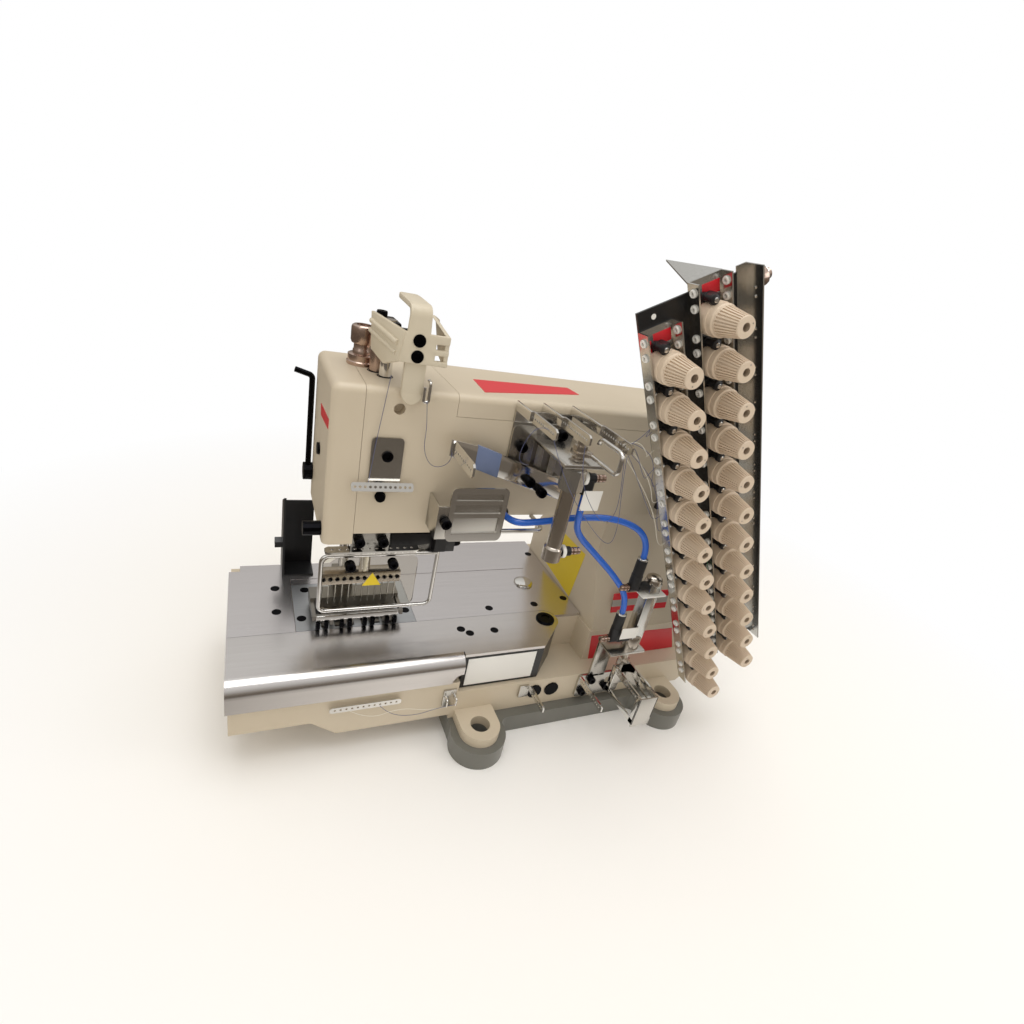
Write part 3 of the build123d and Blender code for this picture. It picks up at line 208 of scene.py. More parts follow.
MATERIALS = {
    "cast": cast_enamel("cream_enamel_on_iron", "D0C3AE", "C6B8A0"),
    "pan": paint_or_plastic("grey_pan_enamel", "74736C", 0.34, shade="67665F"),
    "bed_steel": ground_plate("ground_bed_steel", "DEDADA", "D2CECE", rough=0.24),
    "cover_steel": ground_plate("polished_cover_steel", "DCD8D6", "D0CCCA", rough=0.22),
    "plate_steel": ground_plate("needle_plate_steel", "D0D2D4", "C0C2C5", rough=0.34),
    "chrome": plain_metal("polished_chrome", "E4E2DE", 0.1, wear=0.04),
    "zinc": plain_metal("zinc_plated_sheet", "CBC8C2", 0.24, scale=120.0, wear=0.03),
    "turned": plain_metal("turned_stainless", "C8BFB4", 0.2),
    "nickel": plain_metal("warm_nickel", "C4ADA0", 0.24),
    "bright": ground_plate("bright_drawn_aluminium", "E2E2DF", "C4C4C1", along=(60.0, 60.0, 3.0), rough=0.18),
    "dark_steel": plain_metal("machined_dark_steel", "99948D", 0.36),
    "oxide": plain_metal("black_oxide_steel", "17171A", 0.36),
    "black": paint_or_plastic("black_stove_paint", "101012", 0.35, shade="18181A", coat=0.2),
    "black_plastic": paint_or_plastic("black_nylon", "141416", 0.42, shade="1C1C1F"),
    "cage": paint_or_plastic("cream_moulded_guard", "D2C8B4", 0.42, shade="C8BCA4"),
    "knob": paint_or_plastic("beige_moulded_knob", "DAC8B3", 0.48, shade="D0BCA4"),
    "white": paint_or_plastic("white_glazed_ceramic", "EFEDE8", 0.15, depth=0.02, coat=0.5),
    "white_print": paint_or_plastic("white_vinyl", "E9E7E2", 0.4, depth=0.03),
    "red": paint_or_plastic("red_vinyl", "D3222E", 0.35, depth=0.03),
    "grey_print": paint_or_plastic("grey_vinyl", "A9A39A", 0.4, depth=0.03),
    "yellow": paint_or_plastic("yellow_vinyl", "E5C81B", 0.4, depth=0.03),
    "blue_tape": paint_or_plastic("blue_sleeve", "6E7C9E", 0.3, depth=0.05, coat=0.4),
    "hose": paint_or_plastic("blue_polyurethane", "1F5FC4", 0.22, depth=0.02, coat=0.5),
    "thread": paint_or_plastic("spun_thread", "55597A", 0.7, depth=0.05),
    "pale_thread": paint_or_plastic("pale_spun_thread", "DDD8CC", 0.7, depth=0.05),
    "green_thread": paint_or_plastic("green_spun_thread", "3F7D50", 0.7, depth=0.05),
    "clear": clear_sheet(),
}

FINISHES = {
    "cast": ("bed_casting", "arm_casting", "face_cover", "top_cover"),
    "pan": ("oil_pan",),
    "bed_steel": ("bed_plates",),
    "cover_steel": ("front_cover",),
    "plate_steel": ("needle_plate",),
    "dark_steel": ("feed_dog", "looper_rocker", "presser_foot"),
    "black": ("cover_skirt", "black_plates", "rack_back", "handwheel"),
    "zinc": ("thread_guides", "upper_bracket", "lower_bracket", "lower_rod"),
    "chrome": ("finger_guard", "needle_bar", "presser_bar", "upper_rod"),
    "turned": ("air_cylinders", "air_fittings"),
    "nickel": ("pressure_knob",),
    "oxide": ("machine_screws", "take_up_lever", "lifter_lever"),
    "cage": ("thread_cage",),
    "clear": ("guard_screen",),
    "bright": ("rack_channels",),
    "black_plastic": ("tension_posts",),
    "white": ("eyelets",),
    "hose": ("air_hose_long", "air_hose_short"),
    "knob": tuple(f"tension_knob_{i:02d}" for i in range(1, 25)),
}
for finish, names in FINISHES.items():
    for name in names:
        for held in nodes[name].material_slots:
            held.material = MATERIALS[finish]


# Modelling by hand
def deselect():
    bpy.ops.object.select_all(action="DESELECT")


def edit():
    bpy.ops.object.mode_set(mode="EDIT")
    return bpy.context.object


def cleared():
    """The active object's mesh, with nothing of it selected, in object mode."""
    bpy.ops.object.mode_set(mode="OBJECT")
    mesh = bpy.context.object.data
    for group in (mesh.vertices, mesh.edges, mesh.polygons):
        for item in group:
            item.select = False
    return mesh


def pick(test):
    """Selects the faces of the active object that the test takes, by centre and normal, in edit mode."""
    mesh = cleared()
    bpy.context.tool_settings.mesh_select_mode = (False, False, True)
    for face in mesh.polygons:
        face.select = test(face.center, face.normal)
    edit()


def pick_points(test):
    """Selects the points of the active object that the test takes, in edit mode."""
    mesh = cleared()
    bpy.context.tool_settings.mesh_select_mode = (True, False, False)
    for point in mesh.vertices:
        point.select = test(point.co)
    edit()


def push(x, y, z):
    """Extrudes what is selected by a shift in millimetres."""
    bpy.ops.mesh.extrude_region_move(TRANSFORM_OT_translate={"value": (x * mm, y * mm, z * mm)})


def outward():
    bpy.ops.mesh.select_all(action="SELECT")
    bpy.ops.mesh.normals_make_consistent(inside=False)


def ease(width, segments=2):
    """Rounds every edge of the active piece."""
    bpy.ops.mesh.select_all(action="SELECT")
    bpy.ops.mesh.bevel(offset=width * mm, segments=segments, affect="EDGES")


def seated(obj, name, material, smooth=35):
    """Names a finished piece, gives it its material and puts its place into its mesh."""
    if obj.mode == "EDIT":
        bpy.ops.object.mode_set(mode="OBJECT")
    deselect()
    obj.select_set(True)
    bpy.context.view_layer.objects.active = obj
    bpy.ops.object.transform_apply(location=True, rotation=True, scale=True)
    bpy.ops.object.shade_smooth_by_angle(angle=radians(smooth))
    obj.name = obj.data.name = name
    obj.data.materials.clear()
    obj.data.materials.append(MATERIALS[material])
    return obj


def copied(obj, name, place):
    """A copy with its own mesh, put at its place by a matrix."""
    new = obj.copy()
    new.data = obj.data.copy()
    new.name = new.data.name = name
    bpy.context.scene.collection.objects.link(new)
    new.data.transform(place)
    return new


def gone(*pieces):
    for piece in pieces:
        bpy.data.meshes.remove(piece.data)


def joined(pieces, name):
    """Several pieces as one object, which keeps the material of each."""
    deselect()
    for piece in pieces:
        piece.select_set(True)
    bpy.context.view_layer.objects.active = pieces[0]
    bpy.ops.object.join()
    pieces[0].name = pieces[0].data.name = name
    return pieces[0]


def fitted(obj, body, replaced=()):
    """Lets a piece ride on a body and, where it stands in for plain nodes, hides them."""
    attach(obj, body)
    if replaced:
        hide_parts(*replaced)
    return obj


def facing(point, axis):
    """Matrix that stands a piece made along Z at a place, pointing along the axis."""
    place = Vector(axis).to_track_quat("Z", "Y").to_matrix().to_4x4()
    place.translation = Vector(point) * mm
    return place


def laid(point, across, along):
    """Matrix that lays a piece drawn in X and Y at a place, with its X across and its Y along."""
    x, y = Vector(across).normalized(), Vector(along).normalized()
    place = Matrix((x, y, x.cross(y))).transposed().to_4x4()
    place.translation = Vector(point) * mm
    return place


def cylinder(radius, z0, z1, sides):
    """A new cylinder along Z, in edit mode, in millimetres."""
    deselect()
    bpy.ops.mesh.primitive_cylinder_add(
        vertices=sides, radius=radius * mm, depth=(z1 - z0) * mm, location=(0, 0, (z0 + z1) / 2 * mm)
    )
    bpy.ops.object.transform_apply(location=True)
    return edit()


def end_face(z):
    pick(lambda centre, normal: abs(centre.z - z * mm) < 0.01 * mm and normal.z > 0.9)


def step_up(radius_factor, rise):
    """Extrudes the selected end face along Z and scales it about the axis."""
    push(0, 0, rise)
    bpy.ops.transform.resize(value=(radius_factor, radius_factor, 1), center_override=(0, 0, 0))


def turned(radius, z0, steps, sides=24):
    """A turned piece along Z: a first step at the radius, then each step's radius and height above the last."""
    height = steps[0][1]
    piece = cylinder(radius, z0, z0 + height, sides)
    end_face(z0 + height)
    last = radius
    for new_radius, rise in steps[1:]:
        step_up(new_radius / last, rise)
        last = new_radius
    return piece


def block(x0, x1, y0, y1, z0, z1, eased=0.4):
    """A box with its edges eased, in edit mode."""
    deselect()
    middle = ((x0 + x1) / 2 * mm, (y0 + y1) / 2 * mm, (z0 + z1) / 2 * mm)
    bpy.ops.mesh.primitive_cube_add(size=1, location=middle)
    bpy.context.object.scale = ((x1 - x0) * mm, (y1 - y0) * mm, (z1 - z0) * mm)
    bpy.ops.object.transform_apply(location=True, scale=True)
    edit()
    ease(eased)
    return bpy.context.object


def prism(corners, depth, eased=0.0):
    """A flat outline through the corners, extruded by a shift, in edit mode."""
    deselect()
    bpy.ops.mesh.primitive_circle_add(vertices=len(corners), fill_type="NGON", radius=mm)
    for vertex, corner in zip(bpy.context.object.data.vertices, corners):
        vertex.co = Vector(corner) * mm
    edit()
    bpy.ops.mesh.select_all(action="SELECT")
    push(*depth)
    outward()
    if eased:
        ease(eased)
    return bpy.context.object


def wire(points, radius, bend, sides=10):
    """Round wire through the points: a disc pushed along each run and spun round each corner."""
    corners = [Vector(p) * mm for p in points]
    runs = [b - a for a, b in zip(corners, corners[1:])]
    deselect()
    bpy.ops.mesh.primitive_circle_add(vertices=sides, radius=radius * mm, fill_type="NGON")
    bpy.context.object.data.transform(facing(points[0], runs[0]))
    edit()
    bpy.ops.mesh.select_all(action="SELECT")
    trim = 0.0
    for run, after, corner in zip(runs, runs[1:] + [None], corners[1:]):
        turn = run.angle(after) if after else 0.0
        cut = bend * mm * tan(turn / 2)
        push(*(run.normalized() * (run.length - trim - cut) / mm))
        if after:
            axis = run.cross(after).normalized()
            centre = corner - run.normalized() * cut + axis.cross(run.normalized()) * bend * mm
            steps = max(3, round(turn / radians(18)))
            bpy.ops.mesh.spin(steps=steps, angle=-turn, center=centre, axis=axis)
        trim = cut
    outward()
    return bpy.context.object


def solid_sheet(thickness):
    """Gives the active flat sheet its thickness, upwards from its own plane."""
    bpy.ops.object.mode_set(mode="OBJECT")
    bpy.context.object.data.transform(Matrix.Translation((0, 0, thickness / 2 * mm)))
    bpy.ops.object.mode_set(mode="OBJECT")
    bpy.ops.object.modifier_add(type="SOLIDIFY")
    modifier = bpy.context.object.modifiers[-1]
    modifier.thickness = thickness * mm
    modifier.offset = 0.0
    bpy.ops.object.modifier_apply(modifier=modifier.name)
    edit()
    outward()
    return bpy.context.object


def hole_bar(pitch, width, holes, hole_r, thickness, margin=3.0):
    """A strip along X with a row of eight-sided holes: a ring drawn out to one square cell, then repeated."""
    deselect()
    bpy.ops.mesh.primitive_circle_add(vertices=8, radius=hole_r * mm)
    cell = edit()
    bpy.ops.mesh.select_all(action="SELECT")
    bpy.ops.mesh.extrude_edges_move()
    bpy.ops.object.mode_set(mode="OBJECT")
    for point in cell.data.vertices[8:]:
        x, y = point.co.x / (hole_r * mm), point.co.y / (hole_r * mm)
        point.co = (round(x) * pitch / 2 * mm, round(y) * width / 2 * mm, 0)
    bpy.ops.object.modifier_add(type="ARRAY")
    row = cell.modifiers[-1]
    row.count = holes
    row.use_merge_vertices = True
    row.merge_threshold = 0.02 * mm
    bpy.ops.object.modifier_apply(modifier=row.name)
    for end, shift in ((-pitch / 2, -margin), ((holes - 0.5) * pitch, margin)):
        pick_points(lambda point: abs(point.x - end * mm) < 0.02 * mm)
        bpy.ops.mesh.extrude_region_move(TRANSFORM_OT_translate={"value": (shift * mm, 0, 0)})
        bpy.ops.transform.resize(value=(1, 0.6, 1), center_override=(0, 0, 0))
    return solid_sheet(thickness)


def window_sheet(width, height, thickness, windows, rim, corner):
    """A sheet from 0, 0 with rounded corners and a stack of windows, each with its low and high edge."""
    levels = [0.0] + [level for window in windows for level in window] + [height]
    rows = []
    for low, high in zip(levels, levels[1:]):
        rows.append((low, high))
    deselect()
    bpy.ops.mesh.primitive_grid_add(x_subdivisions=3, y_subdivisions=len(rows), size=1)
    sheet = bpy.context.object
    across = (0.0, rim, width - rim, width)
    for index, point in enumerate(sheet.data.vertices):
        point.co = (across[index % 4] * mm, levels[index // 4] * mm, 0)
    pick(
        lambda centre, normal: rim * mm < centre.x < (width - rim) * mm
        and any(low * mm < centre.y < high * mm for low, high in windows)
    )
    bpy.ops.mesh.delete(type="FACE")
    middle = Vector((width / 2 * mm, height / 2 * mm, 0))
    pick_points(lambda point: (point - middle).length > 0.999 * middle.length)
    bpy.ops.mesh.bevel(offset=corner * mm, segments=4, affect="VERTICES")
    return solid_sheet(thickness)


# Screws
def socket_head(radius, height, material="oxide", sides=20):
    """Cap screw head with its hexagon socket, standing on Z 0."""
    head = turned(radius, 0, [(radius, height * 0.82), (radius * 0.9, height * 0.18)], sides)
    bpy.ops.mesh.inset(thickness=0.42 * radius * mm)
    push(0, 0, -0.55 * height)
    return seated(head, "socket_head_pattern", material)


def screws(name, pattern, places, axis, body="machine"):
    """One piece of several screws, all pointing the same way."""
    made = [copied(pattern, f"{name}_{i}", facing(place, axis)) for i, place in enumerate(places)]
    return fitted(joined(made, name), body)


# Rack frame
ALONG = Vector((cos(RACK_TILT), 0, sin(RACK_TILT)))
UPWARD = Vector((-sin(RACK_TILT), 0, cos(RACK_TILT)))
FORWARD = Vector((0, -1, 0))
TO_LEFT = Matrix.Rotation(radians(-90), 4, "Y")


def on_rack(a, b, forward):
    """Matrix from a piece's own axes to a place on the rack, in its strip's own axes."""
    point = Vector(RACK_CORNER) + ALONG * a + UPWARD * b + FORWARD * forward
    place = Matrix((ALONG, UPWARD, FORWARD)).transposed().to_4x4()
    place.translation = point * mm
    return place


def knob_places():
    for column in range(2):
        for row in range(KNOBS_PER_COLUMN):
            yield STRIP_WIDTH / 2 + column * COLUMN_PITCH, column * COLUMN_RISE - FIRST_KNOB - row * KNOB_PITCH


def tension_knob():
    """Moulded knob: smooth cup, a step, a ribbed grip that narrows, and a bored end; its small dot is made apart from
    it.
    """
    knob = cylinder(KNOB_R, 0, KNOB_CUP - 5, 2 * KNOB_GROOVES)
    end_face(KNOB_CUP - 5)
    step_up(1.0, 0.01)
    step_up(0.96, 0.3)
    step_up(1.0, 4.7)
    step_up(0.925, 1.2)
    step_up(0.985, 1.5)
    top = KNOB_CUP - 5 + 0.01 + 0.3 + 4.7 + 1.2 + 1.5
    rise = KNOB_LENGTH - top - 0.8
    step_up(0.72, rise)
    step_up(0.95, 0.8)
    bpy.ops.mesh.inset(thickness=4.4 * mm)
    push(0, 0, -9)
    low, high = (top + 0.5) * mm, (top + rise - 0.5) * mm

    def rib(centre, normal):
        if not (low < centre.z < high and abs(normal.z) < 0.6):
            return False
        turn = Vector((centre.x, centre.y)).angle_signed(Vector((1, 0))) / pi * KNOB_GROOVES
        return round(turn - 0.5) % 2 == 0

    pick(rib)
    bpy.ops.mesh.inset(use_individual=True, thickness=0.06 * mm, depth=-0.9 * mm)
    return seated(knob, "knob_pattern", "knob", 28)


def dress_rack():
    pattern = tension_knob()
    dot = seated(cylinder(0.55, KNOB_LENGTH - 0.3, KNOB_LENGTH + 0.05, 8), "dot_pattern", "dark_steel")
    for number, (a, b) in enumerate(knob_places(), 1):
        name = f"tension_knob_{number:02d}"
        place = on_rack(a, b, KNOB_STANDOFF)
        turn = Matrix.Rotation(DOT_TURN + number * 0.7, 4, "Z") @ Matrix.Translation((5.6 * mm, 0, 0))
        knob = joined([copied(pattern, "grip", place), copied(dot, "dot", place @ turn)], f"grip_{number:02d}")
        fitted(knob, name, (name,))
    gone(pattern, dot)
    dress_posts()
    dress_eyelets()
    dress_beam()


def dress_posts():
    """Behind each knob two chrome tension discs, and above it a black post with a chrome pin."""
    discs = turned(12.4, STRIP_T + 0.1, [(12.4, 0.5), (11.4, 0.35), (12.2, 0.1), (12.2, 0.45)], 28)
    discs = seated(discs, "discs_pattern", "chrome")
    post = turned(3.6, STRIP_T, [(3.6, 3.0), (2.9, 0.3), (2.9, 7.0), (3.8, 0.3), (3.8, 2.6), (3.0, 0.5)], 12)
    post = seated(post, "post_pattern", "black_plastic")
    pin = turned(1.9, STRIP_T + 13, [(1.9, 1.6), (1.4, 0.4)], 12)
    pin = seated(pin, "pin_pattern", "chrome")
    made = []
    for a, b in knob_places():
        made.append(copied(discs, "discs", on_rack(a, b, 0)))
        made.append(copied(post, "post", on_rack(a - 3, b + KNOB_R + 2.5, 0)))
        made.append(copied(pin, "pin", on_rack(a - 3, b + KNOB_R + 2.5, 0)))
    fitted(joined(made, "tension_discs"), "machine")
    gone(discs, post, pin)


def dress_eyelets():
    """White ceramic rings, one a few dozen faces."""
    deselect()
    bpy.ops.mesh.primitive_torus_add(
        major_segments=14, minor_segments=6, major_radius=2.2 * mm, minor_radius=1.05 * mm
    )
    ring = seated(bpy.context.object, "ring_pattern", "white", 60)
    made = []
    for index, (a, b) in enumerate(knob_places()):
        left = index // KNOBS_PER_COLUMN * COLUMN_PITCH
        for edge in (left, left + STRIP_WIDTH - STRIP_T):
            for step in (-0.5, 0.5):
                along = b + KNOB_PITCH / 2 + step * EYELET_PITCH
                place = on_rack(edge - 0.6, along, FLANGE_DEPTH / 2 + 0.5) @ TO_LEFT
                made.append(copied(ring, "ring", place))
    fitted(joined(made, "eyelet_rings"), "machine", ("eyelets",))
    gone(ring)


def dress_beam():
    """Bright studs in pairs on the outer beam, its thumb nut, the red patches and the clear tab."""
    a = COLUMN_PITCH + STRIP_WIDTH + 21
    stud = seated(turned(1.1, 0, [(1.1, 0.5), (0.6, 0.4)], 8), "stud_pattern", "chrome")
    made = []
    for pair in range(13):
        for step in (0, 6.5):
            made.append(copied(stud, "stud", on_rack(a - STRIP_T, 2 - pair * 30.5 - step, 11) @ TO_LEFT))
    fitted(joined(made, "beam_studs"), "machine")
    gone(stud)
    nut = turned(7.2, 0, [(7.2, 5.0), (6.4, 1.2), (4.0, 0.2), (4.0, 4.0), (3.4, 0.6)], 24)
    nut = seated(nut, "thumb_nut", "nickel")
    nut.data.transform(on_rack(a, 8, FLANGE_DEPTH - 2) @ TO_LEFT.inverted())
    fitted(nut, "machine")
    patches = []
    for left, top in ((0, 0), (COLUMN_PITCH, COLUMN_RISE)):
        for x0, x1, low, high in ((11, 26, -14, -5), (2.4, 9, -19, -9), (3, 25, -308, -290)):
            patch = block(x0 + left, x1 + left, low + top, high + top, STRIP_T, STRIP_T + 0.15, 0.05)
            patches.append(seated(patch, "patch", "red"))
    for patch in patches:
        patch.data.transform(on_rack(0, 0, 0))
    fitted(joined(patches, "red_patches"), "machine")
    right = COLUMN_PITCH + STRIP_WIDTH
    gusset = [(COLUMN_PITCH, COLUMN_RISE + 0.1, 0), (right, COLUMN_RISE + 0.1, 0), (right - 2, COLUMN_RISE + 0.1, -62.2)]
    gusset = seated(prism(gusset, (0, -1.4, 0)), "top_gusset", "bright")
    gusset.data.transform(on_rack(0, 0, 0))
    fitted(gusset, "machine")
    tab = seated(block(-10, 1.5, -22, -8, 0, 1.6, 0.5), "clear_tab", "clear")
    tab.data.transform(on_rack(COLUMN_PITCH, COLUMN_RISE, -1.8))
    fitted(tab, "machine")
    keyhole = seated(turned(2.0, 0, [(2.0, 0.1)], 16), "plate_hole", "white_print")
    keyhole.data.transform(on_rack(COLUMN_PITCH - 29, COLUMN_RISE - 13.5, 0))
    fitted(keyhole, "machine")


# Head
def dress_head():
    x, y = PRESSER
    knob = turned(
        7.2, ARM_TOP + 8.4,
        [(7.2, 3.0), (6.6, 1.0), (6.6, 3.5), (8.6, 1.0), (9.4, 2.0), (9.5, 9.5), (9.0, 1.6), (7.8, 0.9)], 40,
    )
    bpy.ops.mesh.inset(thickness=2.2 * mm)
    push(0, 0, -1.6)
    knob = seated(knob, "pressure_grip", "nickel")
    knob.data.transform(Matrix.Translation((x * mm, y * mm, 0)))
    fitted(knob, "pressure_knob", ("pressure_knob",))
    collar = turned(11.5, 0, [(11.5, 2.6), (10.8, 0.8), (10.8, 4.6), (9.8, 0.6)], 32)
    collar = seated(collar, "collar_pattern", "nickel")
    lobe = seated(turned(6.6, 0, [(6.6, 2.6), (5.8, 0.8)], 24), "lobe_pattern", "nickel")
    base = [
        copied(collar, "collar", Matrix.Translation((x * mm, y * mm, ARM_TOP * mm))),
        copied(lobe, "lobe", Matrix.Translation(((x + 9) * mm, (y - 2) * mm, ARM_TOP * mm))),
    ]
    fitted(joined(base, "regulator_base"), "machine")
    gone(collar, lobe)
    rod_x, rod_y = TAKE_UP
    bar_x, bar_y = NEEDLE_BAR
    rod = seated(turned(6.0, ARM_TOP - 10, [(6.0, 41)], 32), "take_up_rod", "nickel")
    rod.data.transform(Matrix.Translation((rod_x * mm, rod_y * mm, 0)))
    yoke = seated(block(rod_x - 3, bar_x + 7, bar_y - 7, rod_y + 7, TAKE_UP_Z, TAKE_UP_Z + 12, 1.2), "yoke", "oxide")
    horn = seated(block(bar_x + 5, bar_x + 22, bar_y - 3, bar_y + 3, TAKE_UP_Z + 3, TAKE_UP_Z + 8, 0.8), "horn", "oxide")
    tip = seated(block(bar_x + 19, bar_x + 22, bar_y - 3, bar_y + 3, TAKE_UP_Z + 6, TAKE_UP_Z + 16, 0.8), "horn_tip", "oxide")
    head = socket_head(4.2, 5.0)
    head.data.transform(Matrix.Translation((rod_x * mm, rod_y * mm, (TAKE_UP_Z + 11.5) * mm)))
    fitted(joined([rod, yoke, horn, tip, head], "take_up_yoke"), "needle_bar", ("take_up_lever",))
    for name, (px, py), radius in (("rod_rim", TAKE_UP, 6.1), ("bar_rim", NEEDLE_BAR, 5.1)):
        deselect()
        bpy.ops.mesh.primitive_torus_add(
            major_segments=28, minor_segments=6, major_radius=(radius + 0.8) * mm, minor_radius=0.5 * mm,
            location=(px * mm, py * mm, ARM_TOP * mm),
        )
        fitted(seated(bpy.context.object, name, "oxide"), "machine")
    dress_cage()
    dress_face()
    clip = wire([(-189, -53, 337), (-189, -58, 337), (-189, -58, 322), (-193, -58, 322), (-193, -58, 333)], 1.3, 1.6)
    fitted(seated(clip, "thread_clip", "chrome", 60), "machine")


def dress_cage():
    """Cream guard round the take-up: front wall with slots, slanted side walls, and a band bent over the top."""
    z = CAGE_Z
    front = prism(
        [
            (-215, -59, z + 2), (-212, -59, z + 23), (-210.5, -59, z + 23), (-210, -59, z + 34),
            (-194.5, -59, z + 34), (-194, -59, z + 23), (-179, -59, z + 23), (-179, -59, z + 17),
            (-189, -59, z + 17), (-189, -59, z + 13), (-179, -59, z + 13), (-179, -59, z + 9),
            (-189, -59, z + 9), (-189, -59, z + 5), (-179, -59, z + 5), (-179, -59, z + 1),
        ],
        (0, 4, 0),
    )
    end_face(z + 34)
    bpy.ops.mesh.spin(steps=6, angle=radians(86), center=(-0.2, -51 * mm, (z + 34) * mm), axis=(1, 0, 0))
    for back, up, width in ((20, 0.6, 1.0), (13, 0.2, 1.0), (7, 0, 0.92), (3, -0.2, 0.74)):
        push(0.3, back, up)
        bpy.ops.transform.resize(value=(width, 1, 1))
    outward()
    ease(0.7)
    pieces = [seated(front, "front_wall", "cage")]
    strap = block(-209, -193, -55, -50, ARM_TOP - 2, z + 20, 0.8)
    pieces.append(seated(strap, "strap", "cage"))
    foot = seated(turned(8.0, 0, [(8.0, 4.3), (7.3, 0.6)], 28), "strap_end", "cage")
    foot.data.transform(facing((-201, ARM_FRONT, ARM_TOP - 2), (0, -1, 0)))
    pieces.append(foot)
    left = [(-213, -58, z + 23), (-226, -2, z + 25), (-226, -12, z - 1.5), (-221, -36, z - 6), (-216, -58, z + 2)]
    right = [(-179, -58, z + 1), (-179, -58, z + 23), (-177, -4, z + 29), (-171, 0, z + 26), (-175, -30, z + 4)]
    pieces.append(seated(prism(left, (3.4, 0, 0), 0.8), "left_wall", "cage"))
    pieces.append(seated(prism(right, (-3.4, 0, 0), 0.8), "right_wall", "cage"))
    for low in (6.5, 13.5):
        flute = wire([(-215.6, -53, z + low), (-225.6, -6, z + low + 5)], 2.1, 1, 10)
        pieces.append(seated(flute, "flute", "cage", 60))
    fitted(joined(pieces, "take_up_guard"), "machine", ("thread_cage",))
    head = socket_head(4.6, 0.8)
    screws("guard_screws", head, [(-201.8, -59, z + 18), (-202, -59, z + 6.8)], (0, -1, 0))
    gone(head)


def dress_face():
    """Guide plate with its thread strip, the slotted guard, and the screws on the head's front."""
    plate = window_sheet(25, 43, 2, (), 4, 3.5)
    plate = seated(plate, "face_plate", "zinc")
    plate.data.transform(laid((-226, ARM_FRONT, 247), (1, 0, 0), (0, 0, 1)))
    strip = seated(hole_bar(3.9, 7, 12, 1.15, 2, 1.0), "thread_strip", "chrome")
    strip.data.transform(laid((-236.5, -55.5, 250), (1, 0, 0), (0, 0.5, 1)))
    head = socket_head(4.4, 1.6)
    big = screws("face_screws", head, [(-213, -52, 274.6), (-215, ARM_FRONT, 239.5)], (0, -1, 0))
    end = screws("end_screw", head, [(FACE_X, -2, 258)], (-1, 0, 0))
    gone(head)
    clamp = window_sheet(32, 24, 2, (), 4, 3)
    clamp = seated(clamp, "clamp_plate", "zinc")
    clamp.data.transform(laid((-233, -42, 181), (1, 0, 0), (0, 0, 1)))
    lower = seated(hole_bar(6, 10, 12, 1.3, 2, 3.0), "needle_thread_strip", "chrome")
    lower.data.transform(laid((-248, -48, 187), (1, 0, 0), (0, 1, 0)))
    tail = seated(prism([(-178, -44, 188), (-165, -44, 190), (-166, -44, 182), (-176, -44, 178)], (0, 1, 0)), "tail", "zinc")
    windows = ((7, 22), (26, 34), (38, 44))
    frame_piece = seated(window_sheet(50, 49, 1.8, windows, 4.5, 6), "slot_frame", "chrome")
    frame_piece.data.transform(laid((-165, -76, 212), (1, 0, 0), (0, 0, 1)))
    backing = seated(block(-161, -119, -76.6, -76.0, 217, 258, 0.1), "slot_backing", "zinc")
    bracket = seated(block(-174, -160, -77, -75, 214, 244, 0.5), "slot_bracket", "zinc")
    arm = seated(block(-174, -172, -76, ARM_FRONT, 214, 244, 0.5), "slot_arm", "zinc")
    rod = wire([(-116, -77, 221), (-74, -77, 221), (-74, ARM_FRONT, 221)], 2, 8)
    rod = seated(rod, "slot_rod", "chrome", 60)
    knob = seated(turned(7, SHOE_UNDER - 8, [(7, 12)], 24), "slot_knob", "oxide")
    knob.data.transform(Matrix.Translation((-140 * mm, -36 * mm, 0)))
    rail = seated(block(-200, -141, -44, -38, 181, 200, 0.5), "black_rail", "black")
    pieces = [plate, strip, clamp, lower, rail, tail, frame_piece, backing, bracket, arm, rod, knob]
    fitted(joined(pieces, "guide_plates"), "machine", ("thread_guides",))
    thumb = turned(4.2, 0, [(4.2, 0.8), (3.4, 0.2), (3.4, 1.0), (4.4, 0.3), (4.4, 4.6), (3.9, 0.5)], 18)
    bpy.ops.mesh.inset(thickness=1.9 * mm)
    push(0, 0, -2.2)
    thumb = seated(thumb, "thumb_pattern", "oxide")
    screws("clamp_screws", thumb, [(-226.8, -44, 195.6), (-207.2, -44, 195.2)], (0, -1, 0))
    screws("slot_screw", thumb, [(-167.5, -77, 231)], (0, -1, 0))
    screws("screen_screws", thumb, [(-233, -47.5, 174), (-197.3, -47.5, 175)], (0, -1, 0), "finger_guard")
    gone(thumb)


